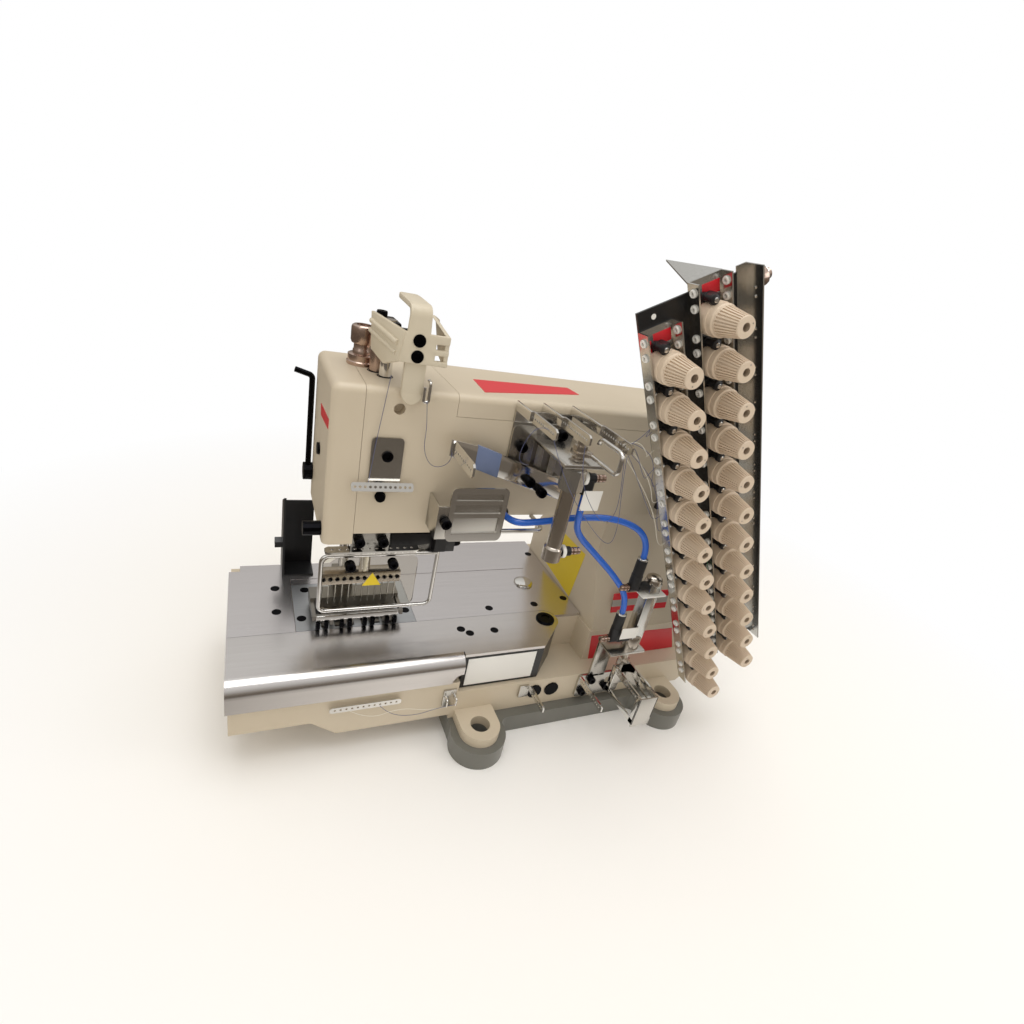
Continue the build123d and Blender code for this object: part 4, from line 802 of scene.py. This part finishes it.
# Needles, foot and bed
def dress_needles():
    """Twelve needles with their shanks, set screws in the clamp, and the presser foot's black toes."""
    x, y = NEEDLE_BAR
    needle = turned(
        1.0, 0, [(1.0, CLAMP_Z - NEEDLE_TIP_Z - 22), (0.75, 0.6), (0.75, 12), (0.65, 6), (0.15, 3.4)], 10,
    )
    needle = seated(needle, "needle_pattern", "chrome", 60)
    screw = socket_head(1.9, 1.0, sides=12)
    made, heads = [], []
    for i in range(12):
        needle_x = NEEDLE_X + 6 * (i - 5.5)
        made.append(copied(needle, "needle", facing((needle_x, y, CLAMP_Z), (0, 0, -1))))
        heads.append(copied(screw, "set_screw", facing((needle_x, y - 6, CLAMP_Z + 6), (0, -1, 0))))
    clamp = seated(block(NEEDLE_X - 36, NEEDLE_X + 36, y - 6, y + 6, CLAMP_Z, CLAMP_Z + 12, 0.6), "needle_clamp", "turned")
    bar = seated(turned(5.0, CLAMP_Z + 11, [(5.0, TAKE_UP_Z + 2 - CLAMP_Z)], 32), "needle_rod", "chrome")
    bar.data.transform(Matrix.Translation((x * mm, y * mm, 0)))
    fitted(joined(made + heads + [clamp, bar], "needle_row"), "needle_bar", ("needle_bar",))
    gone(needle, screw)
    toe = prism(
        [(0, -35, 96.2), (0, -35.5, 97.5), (0, -35.5, 103), (0, -32.5, 104), (0, -31.5, 101), (0, -29, 99.6), (0, -29, 95.8)],
        (3.6, 0, 0), 0.4,
    )
    toe = seated(toe, "toe_pattern", "oxide")
    toes = []
    for pair in range(4):
        for step in (0, 7.2):
            toes.append(copied(toe, "toe", Matrix.Translation(((-255 + pair * 20.8 + step) * mm, 0, 0))))
    bar = block(-255, -181, -33.6, -31.0, 104.5, 109.5, 0.8)
    toes.append(seated(bar, "foot_bar", "chrome"))
    fitted(joined(toes, "presser_toes"), "presser_bar")
    gone(toe)
    wire_frame = wire(
        [
            (GUARD_X, GUARD_Y, 191), (GUARD_X, GUARD_Y, 126), (GUARD_X - 99, GUARD_Y, 126),
            (GUARD_X - 99, GUARD_Y, 182), (GUARD_X, GUARD_Y, 182),
        ],
        1.75, 6, 12,
    )
    fitted(seated(wire_frame, "guard_frame", "chrome", 60), "finger_guard", ("finger_guard",))


def dress_bed():
    """Countersunk screws, plugs and the sight cap of the bed, and the pivot screw of the cover."""
    ring = turned(4.2, 0, [(4.2, 0.1), (3.9, 0.05)], 24)
    bpy.ops.mesh.inset(thickness=1.2 * mm)
    push(0, 0, -0.12)
    ring = seated(ring, "sink_pattern", "oxide")
    needle = [(-259.4, 28.7, BED_TOP), (-265.5, -15.6, BED_TOP), (-168.5, -14.9, BED_TOP), (-175, 29, BED_TOP)]
    rear = [(-80.1, -22.5, BED_TOP), (-26.1, -21.9, BED_TOP), (12.2, 78.7, BED_TOP), (14.3, -15.4, BED_TOP)]
    left = [(-286.1, 34, BED_TOP), (-286.3, -3.2, BED_TOP)]
    screws("plate_screws", ring, needle + rear + left, (0, 0, 1))
    cover = [(-121, -51.3, BED_TOP), (-114, -58.4, BED_TOP), (-87.6, -57.6, BED_TOP)]
    screws("cover_screws", ring, cover, (0, 0, 1), "front_cover")
    gone(ring)
    cap = turned(11.0, BED_TOP, [(11.0, 1.5), (9.6, 0.9), (7.0, 0.6), (3.0, 0.3)], 36)
    cap = seated(cap, "sight_cap", "chrome", 60)
    cap.data.transform(Matrix.Translation((-22 * mm, 18 * mm, 0)))
    fitted(cap, "machine")
    head = turned(9.8, BED_TOP + 0.6, [(9.8, 0.8), (9.0, 0.6)], 36)
    bpy.ops.mesh.inset(thickness=3.8 * mm)
    push(0, 0, -1.0)
    head = seated(head, "pivot_head", "oxide")
    head.data.transform(Matrix.Translation((PIVOT[0] * mm, PIVOT[1] * mm, 0)))
    fitted(head, "machine")


# Colour fields, all without print
def field(name, corners, depth, material, body="machine"):
    return fitted(seated(prism(corners, depth), name, material), body)


def dress_fields():
    x = COLUMN_LEFT
    yellow = [(x, 50.5, 102), (x, 30.5, 155.5), (x, -21.5, 157), (x, -15, 96)]
    field("yellow_field", yellow, (-0.3, 0, 0), "yellow")
    foot = [(28, -72.3, 52.5), (147, -72.3, 53.9), (134, -72.3, 84), (22.5, -72.3, 86)]
    field("red_foot_field", foot, (0, 0.4, 0), "red")
    for name, low, high, material in (
        ("red_band_low", 110, 117, "red"), ("grey_band", 117, 125, "grey_print"), ("red_band_high", 125, 132, "red"),
    ):
        front_low, front_high = -66.3 + (low - 106) * 0.14, -66.3 + (high - 106) * 0.14
        corners = [(43, front_low, low), (118, front_low, low), (118, front_high, high), (43, front_high, high)]
        field(name, corners, (0, 1.2, 0), material)
    slash = [(FACE_X, 5, 295), (FACE_X, 1, 286.5), (FACE_X, -44, 291), (FACE_X, -44, 298.8)]
    field("red_slash", slash, (-0.3, 0, 0), "red")
    top = [(-136, -36, ARM_TOP), (-133, 2.5, ARM_TOP), (-34, 9, ARM_TOP), (-32.5, -12, ARM_TOP)]
    field("red_top_field", top, (0, 0, 0.3), "red")
    panel = block(-124, -52, SKIRT_Y - 0.2, SKIRT_Y + 0.4, 57, 89, 0.1)
    fitted(seated(panel, "white_panel", "white_print"), "front_cover")
    patch = prism([(-221, -47.6, 151), (-205, -47.6, 151), (-213, -47.6, 164)], (0, 0.3, 0))
    fitted(seated(patch, "yellow_patch", "yellow"), "finger_guard")


# Upper air unit
def dress_upper_unit():
    x, y, z = CYLINDER
    rod = turned(3.0, z - 34, [(3.0, 36), (5.2, 0.1), (5.2, 2.2), (3.0, 0.1), (3.0, 3.6), (5.6, 0.1), (5.6, 1.0), (3, 0.1), (3, 10)], 18)
    rod = seated(rod, "puller_rod", "turned")
    rod.data.transform(Matrix.Translation((x * mm, y * mm, 0)))
    nut = seated(turned(5.6, z + 10.6, [(5.6, 3.6)], 6), "puller_nut", "turned")
    nut.data.transform(Matrix.Translation((x * mm, y * mm, 0)))
    clamp = seated(block(x - 5, x + 9, y - 6, y + 6, z + 6, z + 10.5, 0.6), "fork_clamp", "turned")
    fork = wire(
        [(x + 8, y - 2, z + 8), (x + 8, y - 43, z + 8), (x + 8, y - 43, z + 25), (x + 8, y - 11, z + 25), (x + 8, y - 11, z + 21)],
        1.7, 5,
    )
    fork = seated(fork, "fork_wire", "chrome", 60)
    fitted(joined([rod, nut, clamp, fork], "thread_puller"), "upper_rod", ("upper_rod",))
    barrel = turned(
        8.2, z - 89, [(8.2, 11.5), (7.0, 1.5), (6.5, 0.4), (6.5, 51.0), (7.2, 0.3), (7.2, 1.3), (9.0, 1.2)], 32
    )
    barrel = seated(barrel, "barrel", "turned")
    head = seated(turned(10.4, z - 22.5, [(10.4, 18), (9.4, 1.2), (6.4, 0.2), (6.4, 3.0), (5.2, 0.1)], 8), "head", "bright")
    ring = seated(turned(7.4, z - 3.5, [(7.4, 3.2), (6.8, 0.3)], 24), "head_ring", "turned")
    pieces = [barrel, head, ring]
    for piece in pieces:
        piece.data.transform(Matrix.Translation((x * mm, y * mm, 0)))
    lower_x, lower_y, lower_z = LOW_CYLINDER
    body = seated(block(lower_x - 6.5, lower_x + 6.5, lower_y - 6.5, lower_y + 6.5, lower_z + 12, lower_z + 80, 0.9), "body", "bright")
    dome = turned(8.2, lower_z + 78, [(8.2, 4.0), (7.6, 1.6), (6.0, 1.3), (3.2, 0.8)], 32)
    dome = seated(dome, "dome", "turned", 60)
    foot = seated(turned(8.6, lower_z, [(8.6, 13), (7.8, 1.6)], 24), "foot", "turned")
    for piece in (dome, foot):
        piece.data.transform(Matrix.Translation((lower_x * mm, lower_y * mm, 0)))
    fitted(joined(pieces + [body, dome, foot], "cylinder_bodies"), "machine", ("air_cylinders",))
    dress_upper_bracket()
    dress_fittings()


def dress_upper_bracket():
    x, y, z = CYLINDER
    pieces = []
    for left, low in ((x - 34, z - 36), (x - 8, z - 40)):
        sheet = window_sheet(22, 46, 2, ((8, 34),), 7.5, 5)
        sheet = seated(sheet, "slotted_plate", "zinc")
        sheet.data.transform(laid((left, ARM_FRONT - 1.2, low), (1, 0, 0), (0, 0, 1)))
        pieces.append(sheet)
    base = seated(block(x - 34, x + 26, ARM_FRONT - 1.6, ARM_FRONT, z - 36, z + 14, 0.4), "base", "dark_steel")
    shelf = seated(block(x - 18, x + 22, y - 13, ARM_FRONT - 1, z, z + 3, 0.6), "shelf", "zinc")
    top = seated(block(x - 35, x + 19, ARM_FRONT - 3, ARM_FRONT, z + 12, z + 22, 0.6), "top", "zinc")
    pieces += [base, shelf, top]
    for bar_x, front in GUIDE_BARS:
        length = ARM_FRONT - front
        bar = seated(hole_bar(3.4, 8.5, 12, 1.05, 1.8, 3.0), "comb", "chrome")
        bar.data.transform(laid((bar_x + 0.9, front + 5, z + 25.5), (0, 1, 0), (0, 0, 1)))
        tail = block(bar_x - 0.9, bar_x + 0.9, front + 42, ARM_FRONT, z + 21.5, z + 29.5, 0.3)
        tail = seated(tail, "comb_tail", "chrome")
        pieces += [bar, tail]
    outline = ((-89, -17), (-89, -3), (-62, -8), (22, -36), (22, -55), (-62, -28))
    corners = [(x + across, ARM_FRONT - 12, z + up) for across, up in outline]
    pieces.append(seated(prism(corners, (0, 1.8, 0), 0.4), "strap", "chrome"))
    pieces.append(seated(block(x + 2, x + 16, ARM_FRONT - 11, ARM_FRONT, z - 42, z - 32, 0.6), "boss", "zinc"))
    hooked = seated(hole_bar(4.2, 11, 10, 1.1, 1.8, 2.0), "hooked_comb", "chrome")
    hooked.data.transform(laid((x - 87, ARM_FRONT - 55, z - 9.5), (0, 1, 0), (0, 0, 1)))
    pieces.append(hooked)
    fitted(joined(pieces, "puller_bracket"), "machine", ("upper_bracket",))
    sleeve = [(x - 66, ARM_FRONT - 12.6, z - 27), (x - 66, ARM_FRONT - 12.6, z - 6.6), (x - 44, ARM_FRONT - 12.6, z - 13.5), (x - 44, ARM_FRONT - 12.6, z - 34.6)]
    fitted(seated(prism(sleeve, (0, 3.0, 0), 0.3), "blue_sleeve", "blue_tape"), "machine")
    cap = socket_head(4.6, 6.0)
    places = [(-102, -53, 290), (-104, -53, 266), (-92, -62, 262), (-78, -62, 252), (-72, -62, 306), (-64, -62, 292)]
    screws("puller_screws", cap, places, (0, -1, 0))
    gone(cap)


def fitting(name, places, entry, entry_end):
    """Push-in elbow: black body and, where the hose goes in, a collar with a bright ring; the turned flow screw is made
    apart from it.
    """
    (x0, x1), y, z = places
    length = abs(x1 - x0)
    body = seated(turned(4.8, 0, [(4.8, length * 0.55), (4.2, 0.3), (4.2, length * 0.42)], 20), "body", "black_plastic")
    body.data.transform(facing((x0, y, z), (x1 - x0, 0, 0)))
    made = [body]
    if entry_end:
        collar = turned(5.6, 0, [(5.6, entry_end * 0.45), (5.2, 0.2), (5.2, entry_end * 0.5), (4.6, 0.5)], 24)
        collar = seated(collar, "collar", "black_plastic")
        ring = seated(turned(5.0, entry_end, [(5.0, 1.4), (4.4, 0.4)], 24), "collar_ring", "bright")
        for piece in (collar, ring):
            piece.data.transform(facing((*entry, z), (0, 0, 1)))
            made.append(piece)
    return made


def flow_screw(start, direction):
    """Turned screw with two grooves and a knurled end."""
    steps = [(3.3, 2.0), (2.4, 0.2), (2.4, 0.9), (3.4, 0.2), (3.4, 2.6), (2.6, 0.2), (2.6, 0.8), (3.2, 0.2), (3.2, 2.6), (2.6, 0.4)]
    screw = seated(turned(3.3, 0, steps, 18), "flow_screw", "nickel")
    screw.data.transform(facing(start, direction))
    return screw


def dress_fittings():
    x, y, z = CYLINDER
    lower_x, lower_y, lower_z = LOW_CYLINDER
    made = fitting("top", ((x + 9, x + 21), y, z - 13), (0, 0), 0)
    made.append(flow_screw((x + 21, y, z - 13), (1, 0, 0)))
    made += fitting("low", ((x + 8, x + 17), y, z - 82), (0, 0), 0)
    made.append(flow_screw((x + 17, y, z - 82), (1, 0, 0)))
    made += fitting("first", ((lower_x - 6, lower_x - 29), y, lower_z + 74), (lower_x - 23, y), 31)
    made.append(flow_screw((lower_x - 29, y, lower_z + 74), (-1, 0, 0)))
    made += fitting("second", ((lower_x - 8, lower_x - 31), y, lower_z + 12), (lower_x - 25, y), 30)
    made.append(flow_screw((lower_x - 31, y, lower_z + 12), (-1, 0, 0)))
    upper = seated(turned(5.4, z - 27, [(5.4, 12), (4.8, 1.0)], 24), "upper_entry", "black_plastic")
    upper.data.transform(Matrix.Translation(((x + 16) * mm, y * mm, 0)))
    bulkhead = seated(turned(5.6, 0, [(5.6, 6.5), (5.0, 1.4)], 24), "bulkhead", "black_plastic")
    bulkhead.data.transform(facing((BULKHEAD[0], ARM_FRONT, BULKHEAD[2]), (0, -1, 0)))
    collar = seated(turned(5.7, 0, [(5.7, 3.2), (5.3, 0.3)], 24), "white_collar", "white_print")
    white = copied(collar, "white_collar_1", facing((x + 9.5, y, z - 13), (1, 0, 0)))
    other = copied(collar, "white_collar_2", facing((x + 8.2, y, z - 82), (1, 0, 0)))
    gone(collar)
    made += [upper, bulkhead, white, other]
    fitted(joined(made, "hose_fittings"), "machine", ("air_fittings",))
    for name, corners in (
        ("tag_upper", (x + 11, x + 29, y - 5.6, y - 5.0, z - 40, z - 22)),
        ("tag_lower", (lower_x - 24, lower_x - 4, y - 8.0, y - 7.4, lower_z + 16, lower_z + 29)),
    ):
        fitted(seated(block(*corners, 0.2), name, "white_print"), "machine")
    tie = seated(block(lower_x - 15, lower_x + 13, y - 9.6, y + 9.6, lower_z + 66, lower_z + 68, 0.4), "white_tie", "white_print")
    fitted(tie, "machine")


# Lower air unit
def dress_lower_unit():
    x, y, z = LOW_CYLINDER
    top = z - 21
    x1, x0 = x + 6, x + 6 - 22
    back, front = y - 4, y - 54
    rod = seated(turned(3.0, top - 2, [(3.0, 45)], 18), "tray_rod", "turned")
    rod.data.transform(Matrix.Translation((x * mm, y * mm, 0)))
    nut = seated(turned(5.4, top + 0.2, [(5.4, 4.0)], 6), "tray_nut", "turned")
    nut.data.transform(Matrix.Translation((x * mm, y * mm, 0)))
    pieces = [rod, nut, seated(block(x - 5, x + 5, back - 1.5, y + 5, top - 12, top, 0.4), "lug", "zinc")]
    pieces.append(seated(block(x0, x1, back - 1.5, back, top - 26, top, 0.3), "tray_back", "zinc"))
    pieces.append(seated(block(x0, x1, front, front + 1.5, top - 36, top, 0.3), "tray_front", "zinc"))
    pieces.append(seated(block(x1 - 1.5, x1, front, back, top - 27, top, 0.3), "tray_right", "chrome"))
    pieces.append(seated(block(x0, x0 + 1.5, front, back, top - 33, top - 27, 0.3), "tray_low", "chrome"))
    for name, bar_x in (("tray_comb", x0), ("tray_comb_right", x1 - 2.2)):
        comb = seated(hole_bar(3.4, 7, 12, 0.95, 1.5, 3.5), name, "chrome")
        comb.data.transform(laid((bar_x + 1.5, front + 6, top - 3.5), (0, 1, 0), (0, 0, 1)))
        pieces.append(comb)
    for low in (front, back - 6):
        post = seated(block(x0, x0 + 1.5, low, low + 6, top - 33, top, 0.3), "tray_post", "chrome")
        pieces.append(post)
    fitted(joined(pieces, "thread_tray"), "lower_rod", ("lower_rod",))
    dress_lower_bracket()


def dress_lower_bracket():
    x, y, z = LOW_CYLINDER
    face = BED_FRONT
    low = z - 3
    sheet = seated(window_sheet(24, 29, 3, ((8, 22),), 8, 3), "base_left", "zinc")
    sheet.data.transform(laid((x - 41, face, PAN_TOP + 4), (1, 0, 0), (0, 0, 1)))
    right = seated(window_sheet(31, 29, 3, ((8, 22),), 11, 3), "base_right", "zinc")
    right.data.transform(laid((x - 17, face, PAN_TOP + 4), (1, 0, 0), (0, 0, 1)))
    web = seated(block(x - 30, x - 10, face - 3, face, PAN_TOP + 30, low + 3, 0.5), "web", "zinc")
    tab = seated(block(x - 30, x + 12, y - 11, face, low, low + 3, 0.5), "tab", "zinc")
    comb = seated(hole_bar(3.4, 7.5, 12, 0.95, 1.8, 3.0), "comb", "chrome")
    comb.data.transform(laid((x - 40, face - 42, PAN_TOP + 28.8), (0, 1, 0), (0, 0, 1)))
    pieces = [sheet, right, web, tab, comb]
    pieces.append(seated(block(-64, -53.5, face - 3, face, 36, 50, 0.4), "front_foot", "zinc"))
    arm = seated(hole_bar(2.8, 7, 10, 0.9, 1.8, 2.0), "front_comb", "chrome")
    arm.data.transform(laid((-54, face - 31, 48), (0, 1, 0), (0, 0, 1)))
    pieces.append(arm)
    pieces.append(seated(block(-145, -132, face - 2, face, 39, 59, 0.5), "spring_plate", "zinc"))
    for prong_x in (-143, -134):
        prong = wire([(prong_x, face, 53), (prong_x, face - 9, 53), (prong_x, face - 9, 46)], 0.9, 2, 8)
        pieces.append(seated(prong, "prong", "chrome", 60))
    row = seated(hole_bar(4.8, 6, 12, 1.0, 2, 2.0), "thread_row", "chrome")
    row.data.transform(laid((-243.5, face - 3, 58), (1, 0, 0), (0, 0, 1)))
    pieces.append(row)
    fitted(joined(pieces, "tray_bracket"), "machine", ("lower_bracket",))
    cap = socket_head(4.2, 4.5)
    places = [(x - 34, face - 3, PAN_TOP + 12), (x - 26, face - 3, PAN_TOP + 27), (x - 5, face - 3, PAN_TOP + 15), (x + 7, face - 3, PAN_TOP + 24)]
    screws("tray_screws", cap, places, (0, -1, 0))
    gone(cap)


# Hoses and threads
def cord_curve(name, points, radius, material, order=3):
    data = bpy.data.curves.new(name, "CURVE")
    data.dimensions = "3D"
    data.bevel_depth = radius * mm
    data.bevel_resolution = 8 if radius > 1 else 2
    data.resolution_u = 16
    data.use_fill_caps = True
    spline = data.splines.new("NURBS")
    spline.points.add(len(points) - 1)
    for point, place in zip(spline.points, points):
        point.co = [v * mm for v in place] + [1]
    spline.order_u = order
    spline.use_endpoint_u = True
    obj = bpy.data.objects.new(name, data)
    bpy.context.scene.collection.objects.link(obj)
    data.materials.append(MATERIALS[material])
    return obj


def hose(name, points):
    obj = cord_curve(name, points, HOSE_R, "hose")
    fitted(obj, "machine", (name.replace("tube", "hose"),))


def dress_hoses():
    hose("air_tube_long", LONG_HOSE)
    hose("air_tube_short", SHORT_HOSE)


def thread(name, points, material="thread"):
    """A sewing thread, drawn 0.44 mm thick so that it shows, as long as its own curve."""
    obj = fitted(cord_curve(name, points, THREAD_R, material), "machine")


def rack_place(a, b, forward):
    """A point on the rack in millimetres."""
    return on_rack(a, b, forward).translation / mm


def dress_threads():
    """Threads down the head, from the rack's eyelets to the guide bars, and loops left hanging."""
    for name, material, points in THREADS:
        thread(name, points, material)
    top = CYLINDER[2] + 25.5
    for i in range(8):
        bar_x, front = GUIDE_BARS[2]
        hole = Vector((bar_x + 2.4, front + 9 + 3.4 * i, top))
        eye = rack_place(-1.6, -FIRST_KNOB - (1.5 + i / 2) * KNOB_PITCH, FLANGE_DEPTH / 2)
        low = hole.lerp(eye, 0.55) + Vector((2, -6 - 1.5 * i, 12 - 14 * (i % 3)))
        points = [hole, hole + Vector((7, -4, 9 - 2 * i)), low, eye + Vector((-9, -4, -6)), eye]
        thread(f"eyelet_thread_{i + 1}", points, "pale_thread" if i % 3 == 1 else "thread")
    for i, material in enumerate(("green_thread", "pale_thread", "green_thread", "thread")):
        b = -FIRST_KNOB - (6.5 + i) * KNOB_PITCH
        start, end = rack_place(STRIP_WIDTH + 1, b, 6), rack_place(COLUMN_PITCH - 1, b + 4, 6)
        low = rack_place((STRIP_WIDTH + COLUMN_PITCH) / 2, b - 22, 9)
        side = ALONG * 3
        thread(f"rack_thread_{i + 1}", [start, low - side + UPWARD * 6, low, low + side + UPWARD * 8, end], material)


def main():
    set_stage()
    dress_rack()
    dress_head()
    dress_needles()
    dress_bed()
    dress_fields()
    dress_upper_unit()
    dress_lower_unit()
    dress_hoses()
    dress_threads()


def set_stage():
    scene = bpy.context.scene
    scene.view_settings.view_transform = "Standard"
    camera_data = bpy.data.cameras.new("camera")
    camera_data.lens = CAMERA_LENS
    camera_data.sensor_width = 36
    camera_data.clip_start = 0.01
    camera = bpy.data.objects.new("camera", camera_data)
    scene.collection.objects.link(camera)
    turn = Matrix((CAMERA_RIGHT, CAMERA_UP, CAMERA_BACK)).transposed().to_4x4()
    turn.translation = Vector(CAMERA_PLACE) * mm
    camera.matrix_world = turn
    scene.camera = camera
    deselect()
    bpy.ops.mesh.primitive_plane_add(size=6, location=(0, 0, 0))
    floor = bpy.context.object
    floor.name = "floor"
    floor.data.materials.append(floor_finish())
    studio_world(scene)
    lamp("ceiling", (-0.1, -0.2, 1.9), 1.4, 15, (0, 0, 0.1))
    lamp("front_left", (-1.5, -1.3, 1.3), 1.0, 2, (0, 0, 0.2))
    lamp("right", (1.5, -0.9, 1.2), 0.9, 5, (0, 0, 0.2))


def studio_world(scene):
    """Soft light, plain white to the camera: metals reflect a beige room that is brighter overhead."""
    world = bpy.data.worlds.new("studio")
    scene.world = world
    world.use_nodes = True
    world.node_tree.nodes.clear()
    place = add(world, "TexCoord")
    split = add(world, "SeparateXYZ", links={0: (place, "Generated")})
    height = add(world, "MapRange", {"From Min": 0.05, "From Max": 0.7}, {"Value": (split, "Z")})
    room = add(world, "MixRGB", {1: linear("93887B"), 2: linear("FFFEFB")}, {0: (height, 0)})
    rays = add(world, "LightPath")
    around = add(world, "MixRGB", {1: linear("F4EFE6")}, {0: (rays, "Is Glossy Ray"), 2: (room, 0)})
    soft = add(world, "Background", {"Strength": 0.75}, {"Color": (around, 0)})
    white = add(world, "Background", {"Color": linear("FFFFFF")})
    blend = add(world, "MixShader", links={0: (rays, "Is Camera Ray"), 1: (soft, 0), 2: (white, 0)})
    add(world, "OutputWorld", links={"Surface": (blend, 0)})


def floor_finish():
    """White laminate, which fades to the plain white ground of the picture away from the machine. In reflections its
    outer part is a painted reflection: a flat dim brown glow that darkens what the metals mirror.
    """
    m = blank("white_laminate")
    skin = add(m, "BsdfPrincipled", {"Base Color": linear("FBF9F6"), "Roughness": 0.6})
    white = add(m, "Emission", {"Color": linear("FFFFFF"), "Strength": 1.0})
    place = add(m, "TexCoord")
    far = add(m, "VectorMath", {"operation": "LENGTH"}, {0: (place, "Object")})
    fade = add(m, "MapRange", {"From Min": 0.35, "From Max": 0.8}, {"Value": (far, "Value")})
    rays = add(m, "LightPath")
    seen = add(m, "Math", {"operation": "MULTIPLY"}, {0: (fade, 0), 1: (rays, "Is Camera Ray")})
    top = add(m, "MixShader", links={0: (seen, 0), 1: (skin, 0), 2: (white, 0)})
    # Painted reflection: seen in glossy rays, the floor beyond about 0.22 m turns into a fixed dim brown glow instead
    # of lit laminate.
    edge = add(m, "MapRange", {"From Min": 0.22, "From Max": 0.5}, {"Value": (far, "Value")})
    painted_reflection_mask = add(m, "Math", {"operation": "MULTIPLY"}, {0: (edge, 0), 1: (rays, "Is Glossy Ray")})
    painted_floor_reflection = add(m, "Emission", {"Color": linear("6A6259"), "Strength": 1.0})
    return close(m, add(m, "MixShader", links={0: (painted_reflection_mask, 0), 1: (top, 0), 2: (painted_floor_reflection, 0)}))


def lamp(name, place, size, power, target):
    data = bpy.data.lights.new(name, "AREA")
    data.size = size
    data.energy = power
    obj = bpy.data.objects.new(name, data)
    bpy.context.scene.collection.objects.link(obj)
    obj.location = place
    obj.rotation_euler = (Vector(target) - Vector(place)).to_track_quat("-Z", "Y").to_euler()


# Routes of the hoses, with the points of the plain model
FIRST_ENTRY = (23, -105, 204)
SECOND_ENTRY = (21, -105, 141)
UPPER_ENTRY = (-62, -105, 271.5)
BULKHEAD = (-107, -58, 228)
LONG_HOSE = [
    FIRST_ENTRY,
    (23, -105, 219),
    (8, -103, 237),
    (-22, -98, 245),
    (-52, -88, 240),
    (-82, -80, 231),
    (-107, -76, 228),
    BULKHEAD,
]
SHORT_HOSE = [
    SECOND_ENTRY,
    (21, -105, 160),
    (0, -101, 184),
    (-28, -97, 208),
    (-54, -97, 230),
    (-62, -105, 252),
    UPPER_ENTRY,
]

# Threads with a course of their own
THREADS = (
    ("head_thread", "thread", ((-217, -51, 338), (-220, -52, 312), (-223, -53, 288), (-225, -55, 268), (-227, -58, 255))),
    (
        "clip_thread", "thread",
        (
            (-190.5, -60, 323), (-188, -56, 312), (-185.5, -52.5, 300), (-185.5, -52.2, 280), (-176, -52.5, 266),
            (-162, -55, 272), (-166.5, -66, 286),
        ),
    ),
    (
        "long_loop", "thread",
        (
            (-110, -116, 320), (-100, -127, 292), (-62, -129, 250), (-38, -126, 232), (-36, -127, 250),
            (-52, -134, 296), (-57, -136, 318),
        ),
    ),
    (
        "short_loop", "thread",
        ((-86, -122, 320), (-88, -128, 296), (-64, -132, 262), (-48, -130, 258), (-46, -131, 280), (-56, -131, 318)),
    ),
    (
        "comb_loop", "thread",
        ((-114, -112, 326), (-124, -114, 330), (-130, -108, 312), (-122, -92, 290), (-108, -84, 286)),
    ),
    (
        "low_loop", "pale_thread",
        ((-232, -97, 56), (-214, -98, 42), (-188, -99, 52), (-160, -100, 44), (-143, -101, 46)),
    ),
    (
        "row_loop", "thread",
        ((-205, -97, 56), (-196, -98, 44), (-172, -100, 40), (-150, -101, 47), (-134, -101, 47)),
    ),
)

main()
